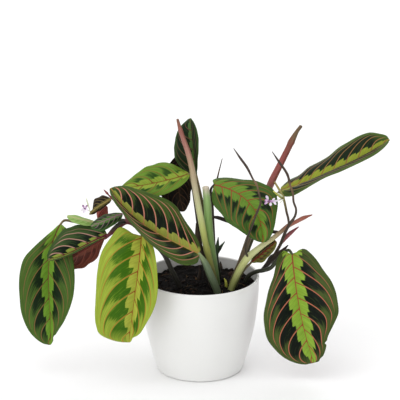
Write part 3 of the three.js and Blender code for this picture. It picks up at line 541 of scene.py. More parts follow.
# Young shoots, buds and short sprouts: tight rolls of young leaves, most of them thickest midway.
wine_skin = stalk_skin("wine_shoot_skin", [
    (0.0, "7a3a34"), (0.5, "8f4a4a"), (1.0, "7a3440")], streak="4f2226", streaks=0.4)
stalk("spike_wine", "spike_red", wine_skin, [
    [87, -8, 141, 1.2], [90.5, -4, 145, 2], [94, -3, 149, 2.4], [99, -2, 153.5, 2.2],
    [107, -1, 159.5, 0.6]], rib=0.08, ribs=3)
stalk("shoot_left_brown", "shoot_left", wine_skin, [
    [-77, -33, 176, 1.5], [-82, -27, 186, 1.7], [-89, -25, 195, 1.6], [-97, -25, 203, 0.9]])
stalk("bud_left", "bud_red", wine_skin, [
    [-97.6, -25, 203.6, 0.7], [-99.5, -25, 206, 1.4], [-102.5, -25, 209.5, 0.5]], sides=12, step=0.5)
olive_skin = stalk_skin("olive_shoot_skin", [
    (0.0, "5a4a30"), (0.4, "7a7a45"), (1.0, "8f9a55")], streak="4a3a28", streaks=0.5)
stalk("shoot_young_olive", "shoot_young", olive_skin, [
    [-88, -23, 174, 1.2], [-96, -26, 177, 1.4], [-104, -27.5, 176, 1.2], [-110.5, -28.5, 175, 1]])
stalk("sprout_brown_bud", "sprout_brown", dead_skin, [
    [-1, 14, 78, 1.2], [-1, 14, 94, 2.2], [0, 14, 102, 1.6], [-1, 14, 110, 0.4]], step=0.7)
lime_skin = stalk_skin("lime_sprout_skin", [
    (0.0, "5f5a30"), (0.5, "9aa040"), (1.0, "c9c85a")], streak="7a5a30", streaks=0.4)
stalk("sprout_lime", "sprout_green", lime_skin, [
    [28, -12, 84, 1], [28.5, -13, 96, 1.7], [28, -14, 101, 1.4], [26.5, -15, 105, 0.5]], step=0.5)
stalk("sprout_stub_dark", "sprout_stub", dead_skin, [
    [23, 50, 80, 1.5], [23, 50, 94, 2.6], [23, 50, 98, 1.4], [23, 50, 101, 0.4]], step=0.6)
forked_skin = stalk_skin("forked_sprout_skin", [
    (0.0, "15150f"), (0.6, "1f2618"), (0.85, "34502c"), (1.0, "1d2a18")], streak="4a6a3a", streaks=0.3)
main = tube([
    [24, 16, 78, 1.4], [22, 15, 98, 1.6], [18, 12, 122, 2.4], [19, 12, 132, 2.4], [20, 12, 143, 0.5]],
    step=0.8)
prong = tube([[18.2, 12, 122, 1], [21.5, 12, 130, 2.2], [27, 12, 138, 0.5]], step=0.8)
sprout = mesh_object("sprout_forked_dark", np.vstack([main[0], prong[0]]) + PLANT_BASE,
                     np.vstack([main[1], prong[1] + len(main[0])]), forked_skin,
                     {"run": np.vstack([main[2], prong[2]])})
keep(sprout, "sprout_forked", "sprout_forked")


# ---------------------------------------------------------------- leaf blades
# A prayer plant's leaf is one thin sheet, quilted between its side veins: a lime band with toothed
# lobes along the midrib, dark blotches between the veins outside it, and a plain green margin.

# One half of a blade, on the left or right hand of someone who looks from base to tip with the upper
# face up: the powers skew and round of its outline, how far its lobe hangs back past the base, and
# rows of its sideways reach as [place along the midrib, x, y, z].
Half = collections.namedtuple("Half", "skew round lobe reach")
ARCH = 0.48  # rise of a half blade between midrib and edge, as a share of its reach
LOBE_PLACE = 0.05  # place along the midrib where a lobe hangs back most
VEIN_LIMIT, VEIN_LIMIT_FALL = 1.02, 0.1  # side veins run towards out = VEIN_LIMIT - VEIN_LIMIT_FALL u,
VEIN_CLOSEST = 0.05  # and the room left to that line counts as never less than this
KEEL_HALF_WIDTH = 1.1
PUFF_FULL_AT = 6  # pitch of the side veins from which the quilting has its full height
FEWEST_ROWS = 24
FEWEST_COLUMNS = 8
SMOOTH_ROWS = 241
SMOOTH_WINDOW = 25


def half_width(u, half):
    """Width of a half blade along the leaf: the sine of half a turn of u to the power skew, itself to
    the power round, which is 0 at both ends and 1 at the widest place."""
    return np.clip(np.sin(np.pi * u ** half.skew), 0, None) ** half.round


def half_reach(u, along, half):
    """Sideways reach of a half blade at each u: straight from row to row, softened by a cosine window,
    made square to the midrib, and scaled by the half width."""
    rows = np.array(half.reach, float)
    full = rows[:, 1:] / half_width(rows[:, 0], half)[:, None]
    even = np.linspace(-0.1, 1.1, SMOOTH_ROWS)
    window = 1 + np.cos(np.linspace(-np.pi, np.pi, SMOOTH_WINDOW))
    soft = [np.convolve(np.interp(even, rows[:, 0], column), window / window.sum(), "same")
            for column in full.T]
    whole = slice(SMOOTH_WINDOW // 2, -(SMOOTH_WINDOW // 2))
    reach = np.stack([np.interp(u, even[whole], column[whole]) for column in soft], axis=-1)
    reach = reach - along * (reach * along).sum(-1, keepdims=True)
    return reach * half_width(u, half)[:, None]


def bezier(control, t):
    """Cubic Bezier curve of the four control points at each t, as positions and unit directions."""
    a, b, c, d = control
    place = (1 - t) ** 3 * a + 3 * (1 - t) ** 2 * t * b + 3 * (1 - t) * t ** 2 * c + t ** 3 * d
    slope = (1 - t) ** 2 * (b - a) + 2 * (1 - t) * t * (c - b) + t ** 2 * (d - c)
    return place, slope / np.linalg.norm(slope, axis=1)[:, None]


def blade(midrib, left, right, laterals=7, bow=0.16, band_mm=11, shifts=(0.5, 0.2), step=0.9,
          sheet=0.45, quilt=0.3, wave=0.7, rib=0.9, seed=0, nicks=()):
    """A leaf blade. The midrib is a cubic Bezier curve; at each place u on it the two halves reach out
    sideways, arched between midrib and edge, with lobes that hang back past the base. Side veins run
    where laterals * (u + bow * log(1 - out / limit)) is a whole number, so each leaves the midrib at
    a slant and swings round to follow the edge near the limit, VEIN_LIMIT - VEIN_LIMIT_FALL * u.
    Between them the sheet is puffed up by a raised cosine, and towards the edge it waves. The underside
    has the round midrib. The lime band is band_mm wide, one value or (left, right), times
    (0.72 + 0.9 u) and the square root of 1 - u, and half a millimetre more.
    nicks are torn places of the edge, as (side, place, depth share, width)."""
    control = np.array(midrib, float)
    curve, _ = bezier(control, np.linspace(0, 1, 60)[:, None])
    length = np.linalg.norm(np.diff(curve, axis=0), axis=1).sum()
    spread = max(np.linalg.norm(np.array(half.reach)[:, 1:], axis=1).max() for half in (left, right))
    rows = max(FEWEST_ROWS, int(length / step))
    columns = 2 * max(FEWEST_COLUMNS, int(spread / step))
    s = np.linspace(0, 1, rows + 1)
    u = 0.55 * s + 0.45 * (1 - np.cos(np.pi * s)) / 2  # closer together near both ends
    v = np.linspace(-1, 1, columns + 1)
    w = u[:, None]
    centre, along = bezier(control, w)

    # the sheet before it is quilted
    is_left = (v < 0)[None, :, None]
    reach = np.where(is_left, half_reach(u, along, left)[:, None], half_reach(u, along, right)[:, None])
    up = np.cross(along[:, None], reach) * np.where(is_left, 1, -1)
    lobe = np.where(v < 0, left.lobe, right.lobe)
    lobing = (w / LOBE_PLACE) * np.exp(1 - w / LOBE_PLACE)
    out = np.abs(v)[None, :] + 0 * w
    bite = 0 * out
    for side, place, depth, width in nicks:
        tooth = np.clip(1 - np.abs(w - place) / width, 0, 1)
        bite = bite + np.where(side * v > 0, depth * tooth * out ** 6, 0)
    reached = (out * (1 - bite))[..., None]
    points = (centre[:, None] + reach * reached + up * ARCH * reached * (1 - reached)
              - along[:, None] * (lobe * out ** 1.5 * lobing)[..., None])

    # the side veins: their phase, and the distance from one to the next in millimetres
    inward = np.clip(1 - out / (VEIN_LIMIT - VEIN_LIMIT_FALL * w), VEIN_CLOSEST, 1)
    phase = laterals * (w + bow * np.log(inward)) + np.where(v > 0, shifts[1], shifts[0])
    du, dv = np.gradient(points, axis=(0, 1))
    pu, pv = np.gradient(phase)
    e, f, g = (du * du).sum(-1), (du * dv).sum(-1), (dv * dv).sum(-1)
    steep = (g * pu ** 2 - 2 * f * pu * pv + e * pv ** 2) / np.maximum(e * g - f * f, 1e-9)
    pitch_mm = np.clip(1 / np.sqrt(np.maximum(steep, 1e-9)), 0.4, 40)

    # quilting, waves and thickness along the normal; at the ends the normal is the one next to them
    normal = np.cross(dv, du)
    normal[0] = normal[1] = normal[2, columns // 2]
    normal[-1] = normal[-2] = normal[-3, columns // 2]
    normal /= np.linalg.norm(normal, axis=-1, keepdims=True) + 1e-12
    puff = quilt * (0.5 - 0.5 * np.cos(2 * np.pi * phase)) * np.sin(np.pi * out) ** 0.7
    puff = puff * np.clip(pitch_mm / PUFF_FULL_AT, 0, 1)
    ripple = wave * out ** 3 * value_noise(7 * w + 0 * out, 3 * v[None, :] + 0 * w, 0 * out + seed, 20 + seed)
    points = points + normal * (puff + ripple)[..., None]
    wide = np.linalg.norm(reach, axis=-1)
    across_mm = out * wide
    keel = rib * (1 - 0.8 * w) * np.exp(-(across_mm / KEEL_HALF_WIDTH) ** 2)
    upper = points + normal * sheet / 2
    under = points - normal * (sheet / 2 + keel)[..., None]

    # upper face, underside and the strips that close the two long edges
    count = (rows + 1) * (columns + 1)
    face = grid_faces(rows + 1, columns + 1)
    a = np.arange(rows) * (columns + 1)
    b = a + columns
    edge_left = np.stack([a, a + columns + 1, count + a + columns + 1, count + a], axis=-1)
    edge_right = np.stack([b, count + b, count + b + columns + 1, b + columns + 1], axis=-1)
    faces = np.vstack([face, count + face[:, ::-1], edge_left, edge_right])

    # what the skin needs to know at each point of both faces
    band = np.where(v < 0, *np.broadcast_to(band_mm, 2)) * (0.72 + 0.9 * w) * (1 - w) ** 0.5 + 0.5
    vein = np.stack([phase, pitch_mm, out], axis=-1).reshape(-1, 3)
    zone = np.stack([across_mm / band, w + 0 * out, np.sign(v) + 0 * w], axis=-1).reshape(-1, 3)
    sheet_mm = np.stack([1 + 0 * out, across_mm, (1 - out) * wide], axis=-1).reshape(-1, 3)
    attributes = {
        "vein": np.concatenate([vein, vein]),
        "sheet_mm": np.concatenate([sheet_mm, sheet_mm * [0, 1, 1]]),
        "zone": np.concatenate([zone, zone]),
    }
    return np.concatenate([upper.reshape(-1, 3), under.reshape(-1, 3)]), faces, attributes


def leaf_skin(name, lime, dark, green, vein, midrib, under, under_vein="5a2a28", under_dark="3a1a1c",
              blotch=(1.05, 0.72), feather=0.16, halo=0.03, vein_mm=0.55, midrib_mm=0.9, teeth=0.34,
              seed=0, green_2=None, roughness=0.42):
    """Skin of a leaf from its colours. blotch is where the dark blotches start, in band widths, and
    where they end, as a share of the half blade; feather is how ragged their outer ends are, and halo
    how far they keep from the side veins, as a share of the pitch. A MapRange here has its value, the
    two ends it is mapped from, and the two it is mapped to, which are 0 and 1 where left out."""
    colour = {"data_type": "RGBA"}
    smooth = {"interpolation_type": "SMOOTHSTEP"}
    material, tree = new_material(name)
    phase, pitch, out = add(tree, "SeparateXYZ", [
        add(tree, "Attribute", attribute_name="vein").outputs["Vector"]]).outputs
    face, across, edge = add(tree, "SeparateXYZ", [
        add(tree, "Attribute", attribute_name="sheet_mm").outputs["Vector"]]).outputs
    ratio, u, side = add(tree, "SeparateXYZ", [
        add(tree, "Attribute", attribute_name="zone").outputs["Vector"]]).outputs

    # fine parallel venation: noise stretched along the side veins, and along the edge in the margin
    fine_x = add(tree, "Math", [phase, 9], operation="MULTIPLY")
    fine_y = add(tree, "Math", [across, 0.07], operation="MULTIPLY")
    fine_z = add(tree, "Math", [side, 4, seed], operation="MULTIPLY_ADD")
    fine_at = add(tree, "CombineXYZ", [fine_x, fine_y, fine_z])
    fine = add(tree, "TexNoise", {"Vector": fine_at, "Scale": 1.0, "Detail": 3.0, "Roughness": 0.6})
    slow_x = add(tree, "Math", [phase, 1.3], operation="MULTIPLY")
    slow_at = add(tree, "CombineXYZ", [slow_x, fine_y, fine_z])
    slow = add(tree, "TexNoise", {"Vector": slow_at, "Scale": 1.0, "Detail": 1.0})
    rim_x = add(tree, "Math", [edge, 1.3], operation="MULTIPLY")
    rim_y = add(tree, "Math", [u, 9, seed], operation="MULTIPLY_ADD")
    rim_at = add(tree, "CombineXYZ", [rim_x, rim_y, side])
    rim = add(tree, "TexNoise", {"Vector": rim_at, "Scale": 1.0, "Detail": 2.0})

    # 1 inside the line where the side veins meet, 0 in the plain margin beyond it
    slant, start = -(1 - VEIN_CLOSEST) * VEIN_LIMIT_FALL, (1 - VEIN_CLOSEST) * VEIN_LIMIT
    limit = add(tree, "Math", [u, slant, start], operation="MULTIPLY_ADD")
    room = add(tree, "Math", [limit, out], operation="SUBTRACT")
    inner = add(tree, "MapRange", [room, 0, 0.05])

    # place between two side veins, 0 at the vein nearer the base and 1 at the one nearer the tip
    sector = add(tree, "Math", [phase], operation="FRACT")
    back = add(tree, "Math", [1, sector], operation="SUBTRACT")
    nearest = add(tree, "Math", [sector, back], operation="MINIMUM")
    vein_off = add(tree, "Math", [nearest, pitch], operation="MULTIPLY")

    # toothed lime band: a rounded lobe stands on each side vein, widest on its tip side, and is cut
    # back sharply at 0.56 to 0.7 of the way to the next vein
    ahead = add(tree, "Math", [sector, 0.3], operation="ADD")
    ahead = add(tree, "Math", [ahead], operation="FRACT")
    rise = add(tree, "MapRange", [ahead, 0, 0.6], **smooth)
    drop = add(tree, "MapRange", [ahead, 0.86, 1, 1, 0], **smooth)
    lobe = add(tree, "Math", [rise, drop], operation="MULTIPLY")
    lobe = add(tree, "Math", [lobe, teeth, 1 - 0.8 * teeth], operation="MULTIPLY_ADD")
    jag = add(tree, "Math", [fine, 0.5], operation="SUBTRACT")
    lobe = add(tree, "Math", [jag, 0.16, lobe], operation="MULTIPLY_ADD")
    wander = add(tree, "Math", [slow, 0.5], operation="SUBTRACT")
    lobe = add(tree, "Math", [wander, 0.6, lobe], operation="MULTIPLY_ADD")
    over = add(tree, "Math", [ratio, lobe], operation="SUBTRACT")
    in_band = add(tree, "MapRange", [over, -0.03, 0.05, 1, 0], **smooth)

    # dark blotch: starts outside the band, ends in feathers along the fine veins, and keeps clear of
    # the side veins, the base, the tip and the margin
    begin = add(tree, "Math", [over, blotch[0] - 1], operation="SUBTRACT")
    in_blotch = add(tree, "MapRange", [begin, -0.02, 0.08], **smooth)
    middle = add(tree, "Math", [sector, -0.36, blotch[1] + 0.16], operation="MULTIPLY_ADD")
    middle = add(tree, "Math", [jag, 4 * feather, middle], operation="MULTIPLY_ADD")
    middle = add(tree, "Math", [wander, 0.4, middle], operation="MULTIPLY_ADD")
    past = add(tree, "Math", [out, middle], operation="SUBTRACT")
    ended = add(tree, "MapRange", [past, -0.07, 0.07, 1, 0], **smooth)
    clear = add(tree, "MapRange", [nearest, halo - 0.03, halo + 0.05], **smooth)
    off_base = add(tree, "MapRange", [u, 0.03, 0.1])
    off_tip = add(tree, "MapRange", [u, 0.99, 0.88])
    for mask in (ended, clear, off_base, off_tip, inner):
        in_blotch = add(tree, "Math", [in_blotch, mask], operation="MULTIPLY")

    # side veins thin out towards the edge and fade where they crowd together near it
    thin = add(tree, "Math", [out, -0.6 * vein_mm, vein_mm], operation="MULTIPLY_ADD")
    vein_over = add(tree, "Math", [vein_off, thin], operation="SUBTRACT")
    on_vein = add(tree, "MapRange", [vein_over, -0.18, 0.22, 1, 0], **smooth)
    uncrowded = add(tree, "MapRange", [pitch, 1.4, 3.6])
    started = add(tree, "MapRange", [phase, -1.2, 0.6])
    for mask in (uncrowded, started, inner):
        on_vein = add(tree, "Math", [on_vein, mask], operation="MULTIPLY")
    rib = add(tree, "Math", [u, -0.7 * midrib_mm, midrib_mm], operation="MULTIPLY_ADD")
    rib_over = add(tree, "Math", [across, rib], operation="SUBTRACT")
    on_rib = add(tree, "MapRange", [rib_over, -0.25, 0.25, 1, 0], **smooth)

    # upper face
    grain = add(tree, "Mix", [inner, rim, fine])
    streak = add(tree, "MapRange", [grain, 0.3, 0.7])
    plain = add(tree, "Mix", [streak, linear(green), linear(green_2 or green)], **colour)
    # painted sheen: along the peaks of the fine venation noise the dark blotches are let back towards the
    # plain green, as streaks of painted highlight; the blotch colour carries them from here on
    painted_sheen = add(tree, "MapRange", [fine, 0.56, 0.76, 1, 0.55])
    deep = add(tree, "Math", [in_blotch, painted_sheen], operation="MULTIPLY")
    shaded = add(tree, "Mix", [deep, plain, linear(dark)], **colour)
    banded = add(tree, "Mix", [in_band, shaded, linear(lime)], **colour)
    inside = add(tree, "MapRange", [edge, 1, 7])
    grain = add(tree, "Mix", [inside, 0.5, grain])
    depth = add(tree, "MapRange", [grain, 0.25, 0.75, 0.72, 1.18])
    lined = add(tree, "Mix", [1, banded, depth], blend_type="MULTIPLY", **colour)
    vein_tone = add(tree, "Mix", [in_band, linear(vein), linear(midrib)], **colour)
    veined = add(tree, "Mix", [on_vein, lined, vein_tone], **colour)
    upper = add(tree, "Mix", [on_rib, veined, linear(midrib)], **colour)

    # underside
    below = add(tree, "Mix", [in_blotch, linear(under), linear(under_dark)], **colour)
    below = add(tree, "Mix", [1, below, depth], blend_type="MULTIPLY", **colour)
    either = add(tree, "Math", [on_vein, on_rib], operation="MAXIMUM")
    below = add(tree, "Mix", [either, below, linear(under_vein)], **colour)
    skin = add(tree, "Mix", [face, below, upper], **colour)
    height = add(tree, "Math", [either, grain], operation="ADD")
    relief = add(tree, "Bump", {"Height": height, "Strength": 0.35, "Distance": 0.0004})
    gloss = add(tree, "MapRange", [slow, 0, 1, roughness - 0.06, roughness + 0.06])
    finish_material(tree, {
        "Base Color": skin, "Roughness": gloss, "Normal": relief, "IOR": 1.42, "Specular IOR Level": 0.13})
    return material


def leaf(name, seed, look, midrib, left, right, **shape):
    """One leaf blade with a skin of that look, standing for the node of its name."""
    points, faces, attributes = blade(midrib, left, right, seed=seed, **shape)
    skin = leaf_skin(name + "_leaf_skin", seed=seed, **look)
    keep(mesh_object("blade_" + name, points + PLANT_BASE, faces, skin, attributes),
         "leaf_" + name, "leaf_" + name)


def petiole(name, skin, route, **shape):
    """The petiole of the leaf of that name."""
    stalk("petiole_" + name + "_run", "petiole_" + name, skin, route, **shape)


olive_petiole = stalk_skin("olive_petiole_skin", [
    (0.0, "2c2a1c"), (0.3, "4a4a2e"), (0.7, "5d5a38"), (0.95, "6a5a3a"), (1.0, "7a6a40")],
    streak="30261c", streaks=0.5)


# ---------------------------------------------------------------- left branch
# One long stem leans out to the left. It carries two big drooping leaves, a folded one between them, and
# one that shows its red-brown underside.
stem_skin = stalk_skin("left_stem_skin", [
    (0.0, "16130f"), (0.25, "2a2822"), (0.5, "3a352b"), (0.7, "4d2f28"), (0.85, "6b2630"),
    (1.0, "7a2c38")], streak="5b5a50", streaks=0.5)
stalk("stem_left_long", "stem_left", stem_skin, [
    [-23, -16, 76, 2.6], [-22, -16, 94, 2.7], [-31, -20, 117, 2.7], [-39, -26, 137, 2.6],
    [-53, -32, 156, 2.6], [-67, -33, 171, 2.6], [-78, -33, 176, 2.6], [-90, -31, 167, 2.3],
    [-102, -30, 157, 1.9]], sides=22, rib=0.03, swellings=[(0.55, 0.5, 4), (0.72, 0.6, 4)])
petiole("far_left", olive_petiole, [
    [-66, -33, 170.5, 1.5], [-83, -24, 175, 1.8], [-103, -20, 169, 1.7], [-120, -19, 168, 1.6],
    [-136, -17, 171, 1.5], [-146, -17.5, 172.5, 1.4], [-150, -22, 170, 1.1]])
petiole("left_folded", stem_skin, [
    [-79, -33, 175.5, 1.5], [-84, -37.5, 177, 1.9], [-92, -38.5, 170.5, 1.9], [-99, -38, 162, 1.4]])
petiole("front_left", olive_petiole, [
    [-47, -29.5, 148, 1.5], [-53, -38, 160, 1.9], [-58, -44, 168, 1.8], [-62, -52, 167, 1.4]])

leaf("far_left", 1, dict(
    lime="6c9430", dark="10220c", green="36501c", green_2="4e6a28", vein="7d5a38", midrib="704630",
    under="6a4448", blotch=(1.05, 0.54), feather=0.22),
    [[-150, -22, 170], [-174, -26, 128], [-158, -38, 83], [-163, -42, 38]],
    Half(0.85, 0.55, 3, [
        [0.1, 17, -6, -2], [0.2, 23, -8, -2], [0.3, 27, -10, -1], [0.4, 29, -12, 1], [0.5, 29, -14, 2],
        [0.6, 27, -14, 3], [0.7, 22, -13, 2], [0.8, 15, -10, 1], [0.9, 6, -4, 0], [0.96, 3, -2, 0]]),
    Half(1.2, 0.5, 0, [
        [0.05, -3, 0, 1], [0.1, -7, -1, 2], [0.2, -16, -3, 4], [0.3, -27, -6, 4], [0.4, -30, -9, 3],
        [0.5, -31, -11, 2], [0.6, -31, -10, 2], [0.7, -31, -7, 1], [0.8, -28, -4, 1], [0.9, -22, -2, 2]]),
    laterals=6.2, bow=0.18, band_mm=(8, 9), nicks=[(-1, 0.93, 0.35, 0.03)])
leaf("left_folded", 2, dict(
    lime="8c9c40", dark="0c180c", green="2c4420", green_2="405628", vein="b08676", midrib="6e2838",
    under="6b3038", blotch=(1.02, 0.5), feather=0.34, vein_mm=0.6, midrib_mm=2.2, teeth=0.7),
    [[-99, -38, 162], [-117, -40, 156], [-138, -46, 142], [-163, -48, 138]],
    Half(1, 0.6, 0, [[0.3, 1, -6, 1], [0.7, 1, -6, 0]]),
    Half(1, 0.55, 2, [
        [0.1, -5, 7, 9], [0.2, -7, 10, 14], [0.3, -10, 12, 17], [0.4, -12, 13, 19], [0.5, -11, 11, 20],
        [0.6, -11, 10, 21], [0.7, -9, 8, 20], [0.8, -6, 6, 17], [0.9, -4, 5, 12]]),
    laterals=5, shifts=(0.5, 0.35), bow=0.3, band_mm=(4, 4.5))
leaf("left_underside", 3, dict(
    lime="7a8a44", dark="3a2420", green="5a3028", green_2="6d4a34", vein="7a4a3c", midrib="6e2434",
    under="6e3a2a", under_vein="824438", under_dark="56281e"),
    [[-102, -30, 157], [-118, -28, 145], [-140, -26, 131], [-162, -24, 120]],
    Half(1, 0.6, 0, [[0.3, -7, 9, 12], [0.65, -8, 8, 14]]),
    Half(1.1, 0.6, 0, [
        [0.05, 1, 0, -2], [0.1, 3, 1, -3], [0.2, 5, 2, -7], [0.3, 8, 3, -12], [0.4, 9, 4, -14],
        [0.5, 9, 6, -14], [0.6, 10, 7, -16], [0.7, 8, 7, -13], [0.8, 7, 5, -11], [0.9, 4, 3, -8]]),
    band_mm=5)
leaf("front_left", 4, dict(
    lime="a6ae42", dark="3a640a", green="869c30", green_2="9cac3c", vein="a66c2c", midrib="8f4a26",
    under="8a8a4a", under_vein="7a4a30", under_dark="6a6a30", blotch=(1.03, 0.66), feather=0.24, teeth=0.5),
    [[-62, -52, 167], [-63, -64, 142], [-71, -74, 97], [-76, -70, 52.5]],
    Half(0.9, 0.5, 1, [
        [0.1, 12, -8, 2], [0.2, 16, -11, 2], [0.3, 19, -12, 1], [0.4, 21, -14, 0], [0.5, 23, -15, -1],
        [0.6, 23, -15, -1], [0.7, 20, -14, -2], [0.8, 15, -10, -2], [0.9, 10, -6, -2], [0.96, 3, -2, -1]]),
    Half(1, 0.4, 11, [
        [0.02, -19, -1, 1], [0.05, -24, -1, 2], [0.1, -30, -1, 3], [0.2, -39, -1, 4], [0.3, -42, -2, 6],
        [0.4, -42, -3, 7], [0.5, -42, -4, 7], [0.6, -41, -5, 7], [0.7, -40, -4, 6], [0.8, -39, -3, 5],
        [0.9, -35, -3, 5], [0.96, -30, -3, 3]]),
    laterals=5.7, shifts=(0.46, 0.86), bow=0.18, band_mm=(8.5, 10.5), nicks=[(-1, 0.95, 0.2, 0.03)])


# ---------------------------------------------------------------- middle
# Five leaves on petioles that rise from the peat. The one that droops at the back shows its underside.
grey_green_skin = stalk_skin("grey_green_petiole_skin", [
    (0.0, "343a2a"), (0.4, "4c5a40"), (0.8, "66785a"), (1.0, "8a9a6a")], streak="3a3428", streaks=0.6)
petiole("centre", grey_green_skin, [
    [22, -31, 80, 3.8], [18, -31, 98, 4], [11, -33, 116, 4], [6, -34, 129, 3.4], [-1, -34, 140, 2]],
    sides=24, rib=0.04, ribs=6)
leaf("centre", 5, dict(
    lime="9aa045", dark="0c160a", green="33481e", green_2="50662c", vein="c4806c", midrib="b58450",
    under="6b3038", blotch=(1.02, 0.62), feather=0.3, vein_mm=0.7, roughness=0.34),
    [[-1, -34, 140], [-29, -44, 159], [-72, -57, 178], [-95, -46, 218]],
    Half(1, 0.5, 3, [
        [0.1, -1, -17, -10], [0.2, -2, -24, -12], [0.3, -1, -28, -11], [0.4, 0, -30, -9], [0.5, -1, -31, -6],
        [0.6, -1, -27, -4], [0.7, -1, -23, -1], [0.8, -1, -17, 0], [0.9, -2, -13, 0]]),
    Half(1, 0.5, 0, [
        [0.1, 5, 10, 12], [0.2, 8, 15, 17], [0.3, 12, 16, 23], [0.4, 16, 15, 27], [0.5, 19, 13, 28],
        [0.6, 20, 12, 26], [0.7, 19, 11, 22], [0.8, 18, 10, 18], [0.9, 15, 7, 12], [0.96, 12, 6, 7]]),
    laterals=8, band_mm=(2.5, 8))
petiole("upper_left", olive_petiole, [
    [14, 1, 77, 1.7], [13, 1, 94, 1.8], [7, -4, 128, 1.8], [2, -6, 160, 1.8], [-3, -5, 186, 1.7],
    [-8, -3, 209, 1.6], [-12, -2, 220, 1.2]])
leaf("upper_left", 6, dict(
    lime="8aa038", dark="2e4c14", green="567a24", green_2="6e8e30", vein="7c5a2a", midrib="7a4c24",
    under="6a5a3c", blotch=(1.1, 0.55), halo=0.18),
    [[-12, -2, 220], [-32, -4, 213], [-58, -10, 210], [-85, -18, 208]],
    Half(1, 0.6, 2, [
        [0.05, 1, -6, -2], [0.1, 2, -8, -4], [0.2, 3, -12, -6], [0.3, 4, -14, -7], [0.5, 4, -14, -10],
        [0.7, 4, -11, -10], [0.9, 2, -6, -6]]),
    Half(1, 0.5, 1, [
        [0.05, -1, 4, 3], [0.1, -2, 8, 6], [0.2, -4, 15, 11], [0.3, -5, 18, 14], [0.4, -6, 17, 15],
        [0.5, -5, 14, 15], [0.6, -5, 14, 15], [0.7, -4, 13, 11], [0.8, -4, 11, 8], [0.9, -2, 8, 5],
        [0.96, -1, 4, 3]]),
    laterals=5, band_mm=6)
petiole("drooping_back", dead_skin, [
    [6, 14, 75, 1.8], [6, 15, 93, 1.8], [0, 18, 138, 1.8], [-5, 21, 177, 1.7], [-11, 28, 216, 1.6],
    [-15, 28, 237, 1.5], [-17.5, 23, 245, 1.4], [-19, 16, 242, 1.1]])
# Its underside colours are near-black browns: the leaf's own dark underside, darkened further as painted
# shade where it hangs behind the other leaves.
leaf("drooping_back", 7, dict(
    lime="8aa040", dark="1d2c1a", green="3c5a2c", vein="7a5a34", midrib="7a5a34", under="2a2218",
    under_vein="4a3626", under_dark="17120d"),
    [[-19, 16, 242], [-21, 24, 217], [-28, 22, 194], [-17, 12, 173]],
    Half(1, 0.6, 0, [
        [0.1, -6, -1, 1], [0.2, -11, -2, 1], [0.4, -17, -4, 2], [0.6, -20, -6, 1], [0.7, -20, -6, -1],
        [0.9, -11, -4, -2]]),
    Half(1, 0.6, 0, [
        [0.2, 9, -5, -2], [0.4, 13, -8, -1], [0.6, 14, -10, 2], [0.7, 12, -10, 4], [0.8, 11, -8, 5],
        [0.9, 9, -6, 5]]),
    laterals=8, band_mm=5)
petiole("top_rolled", olive_petiole, [
    [18, 8, 75, 1.8], [16, 8, 94, 1.8], [13, 6, 119, 1.8], [8, 4, 149, 1.8], [4, 4, 178, 1.7],
    [-1, 4, 202, 1.6], [-4, 4, 217, 1.2]])
leaf("top_rolled", 8, dict(
    lime="4c6c34", dark="12220e", green="2a401e", green_2="3a5228", vein="5c4030", midrib="5a3a2c",
    under="6a6a3c", under_vein="5a3a30", under_dark="4a4a2c", blotch=(1.0, 0.9)),
    [[-4, 4, 217], [-4, 0, 241], [-10, 4, 264], [-10, 14, 278]],
    Half(1, 0.6, 2, [
        [0.02, -8, 3, 0], [0.05, -13, 5, 0], [0.1, -16, 6, 0], [0.2, -20, 8, -1], [0.4, -21, 8, -4],
        [0.6, -19, 8, -4], [0.7, -17, 8, -4], [0.8, -14, 7, -4], [0.9, -9, 4, -3], [0.96, -4, 2, -2]]),
    Half(1, 0.6, 0, [
        [0.1, 1, -5, -1], [0.2, 2, -8, 0], [0.3, 3, -11, 1], [0.4, 4, -12, 2], [0.5, 5, -14, 3],
        [0.6, 6, -15, 5], [0.7, 6, -12, 5], [0.8, 5, -9, 5], [0.9, 3, -6, 3], [0.96, 1, -3, 1]]),
    laterals=6, band_mm=4)
petiole("centre_right", dead_skin, [
    [21, 1, 76, 1.8], [19, 1, 93, 1.8], [16, 0, 119, 1.8], [15, -1, 144, 1.8], [14, -1, 167, 1.7],
    [13, -1, 187, 1.6], [11.5, -1, 198, 1.5], [12, -0.5, 203, 1.4], [15, 0, 207, 1.1]])
leaf("centre_right", 9, dict(
    lime="64862e", dark="101e0a", green="34501c", green_2="4a6828", vein="885030", midrib="8a4428",
    under="6b3a38", blotch=(1.12, 0.62), halo=0.16),
    [[15, 0, 207], [39, -4, 204], [69, -18, 191], [67, -34, 153]],
    Half(1, 0.5, 6, [
        [0.1, 3, 12, 5], [0.2, 5, 13, 8], [0.3, 8, 14, 10], [0.4, 13, 12, 14], [0.5, 18, 9, 16],
        [0.6, 24, 6, 16], [0.7, 23, 1, 12], [0.8, 17, -2, 6], [0.9, 12, -2, 3]]),
    Half(0.9, 0.5, 1.5, [
        [0.1, -5, -16, -16], [0.2, -10, -18, -18], [0.3, -15, -19, -18], [0.4, -20, -18, -17],
        [0.5, -25, -16, -15], [0.6, -28, -17, -11], [0.7, -29, -16, -5], [0.8, -27, -16, -1],
        [0.9, -21, -11, 2]]),
    band_mm=(11, 12))


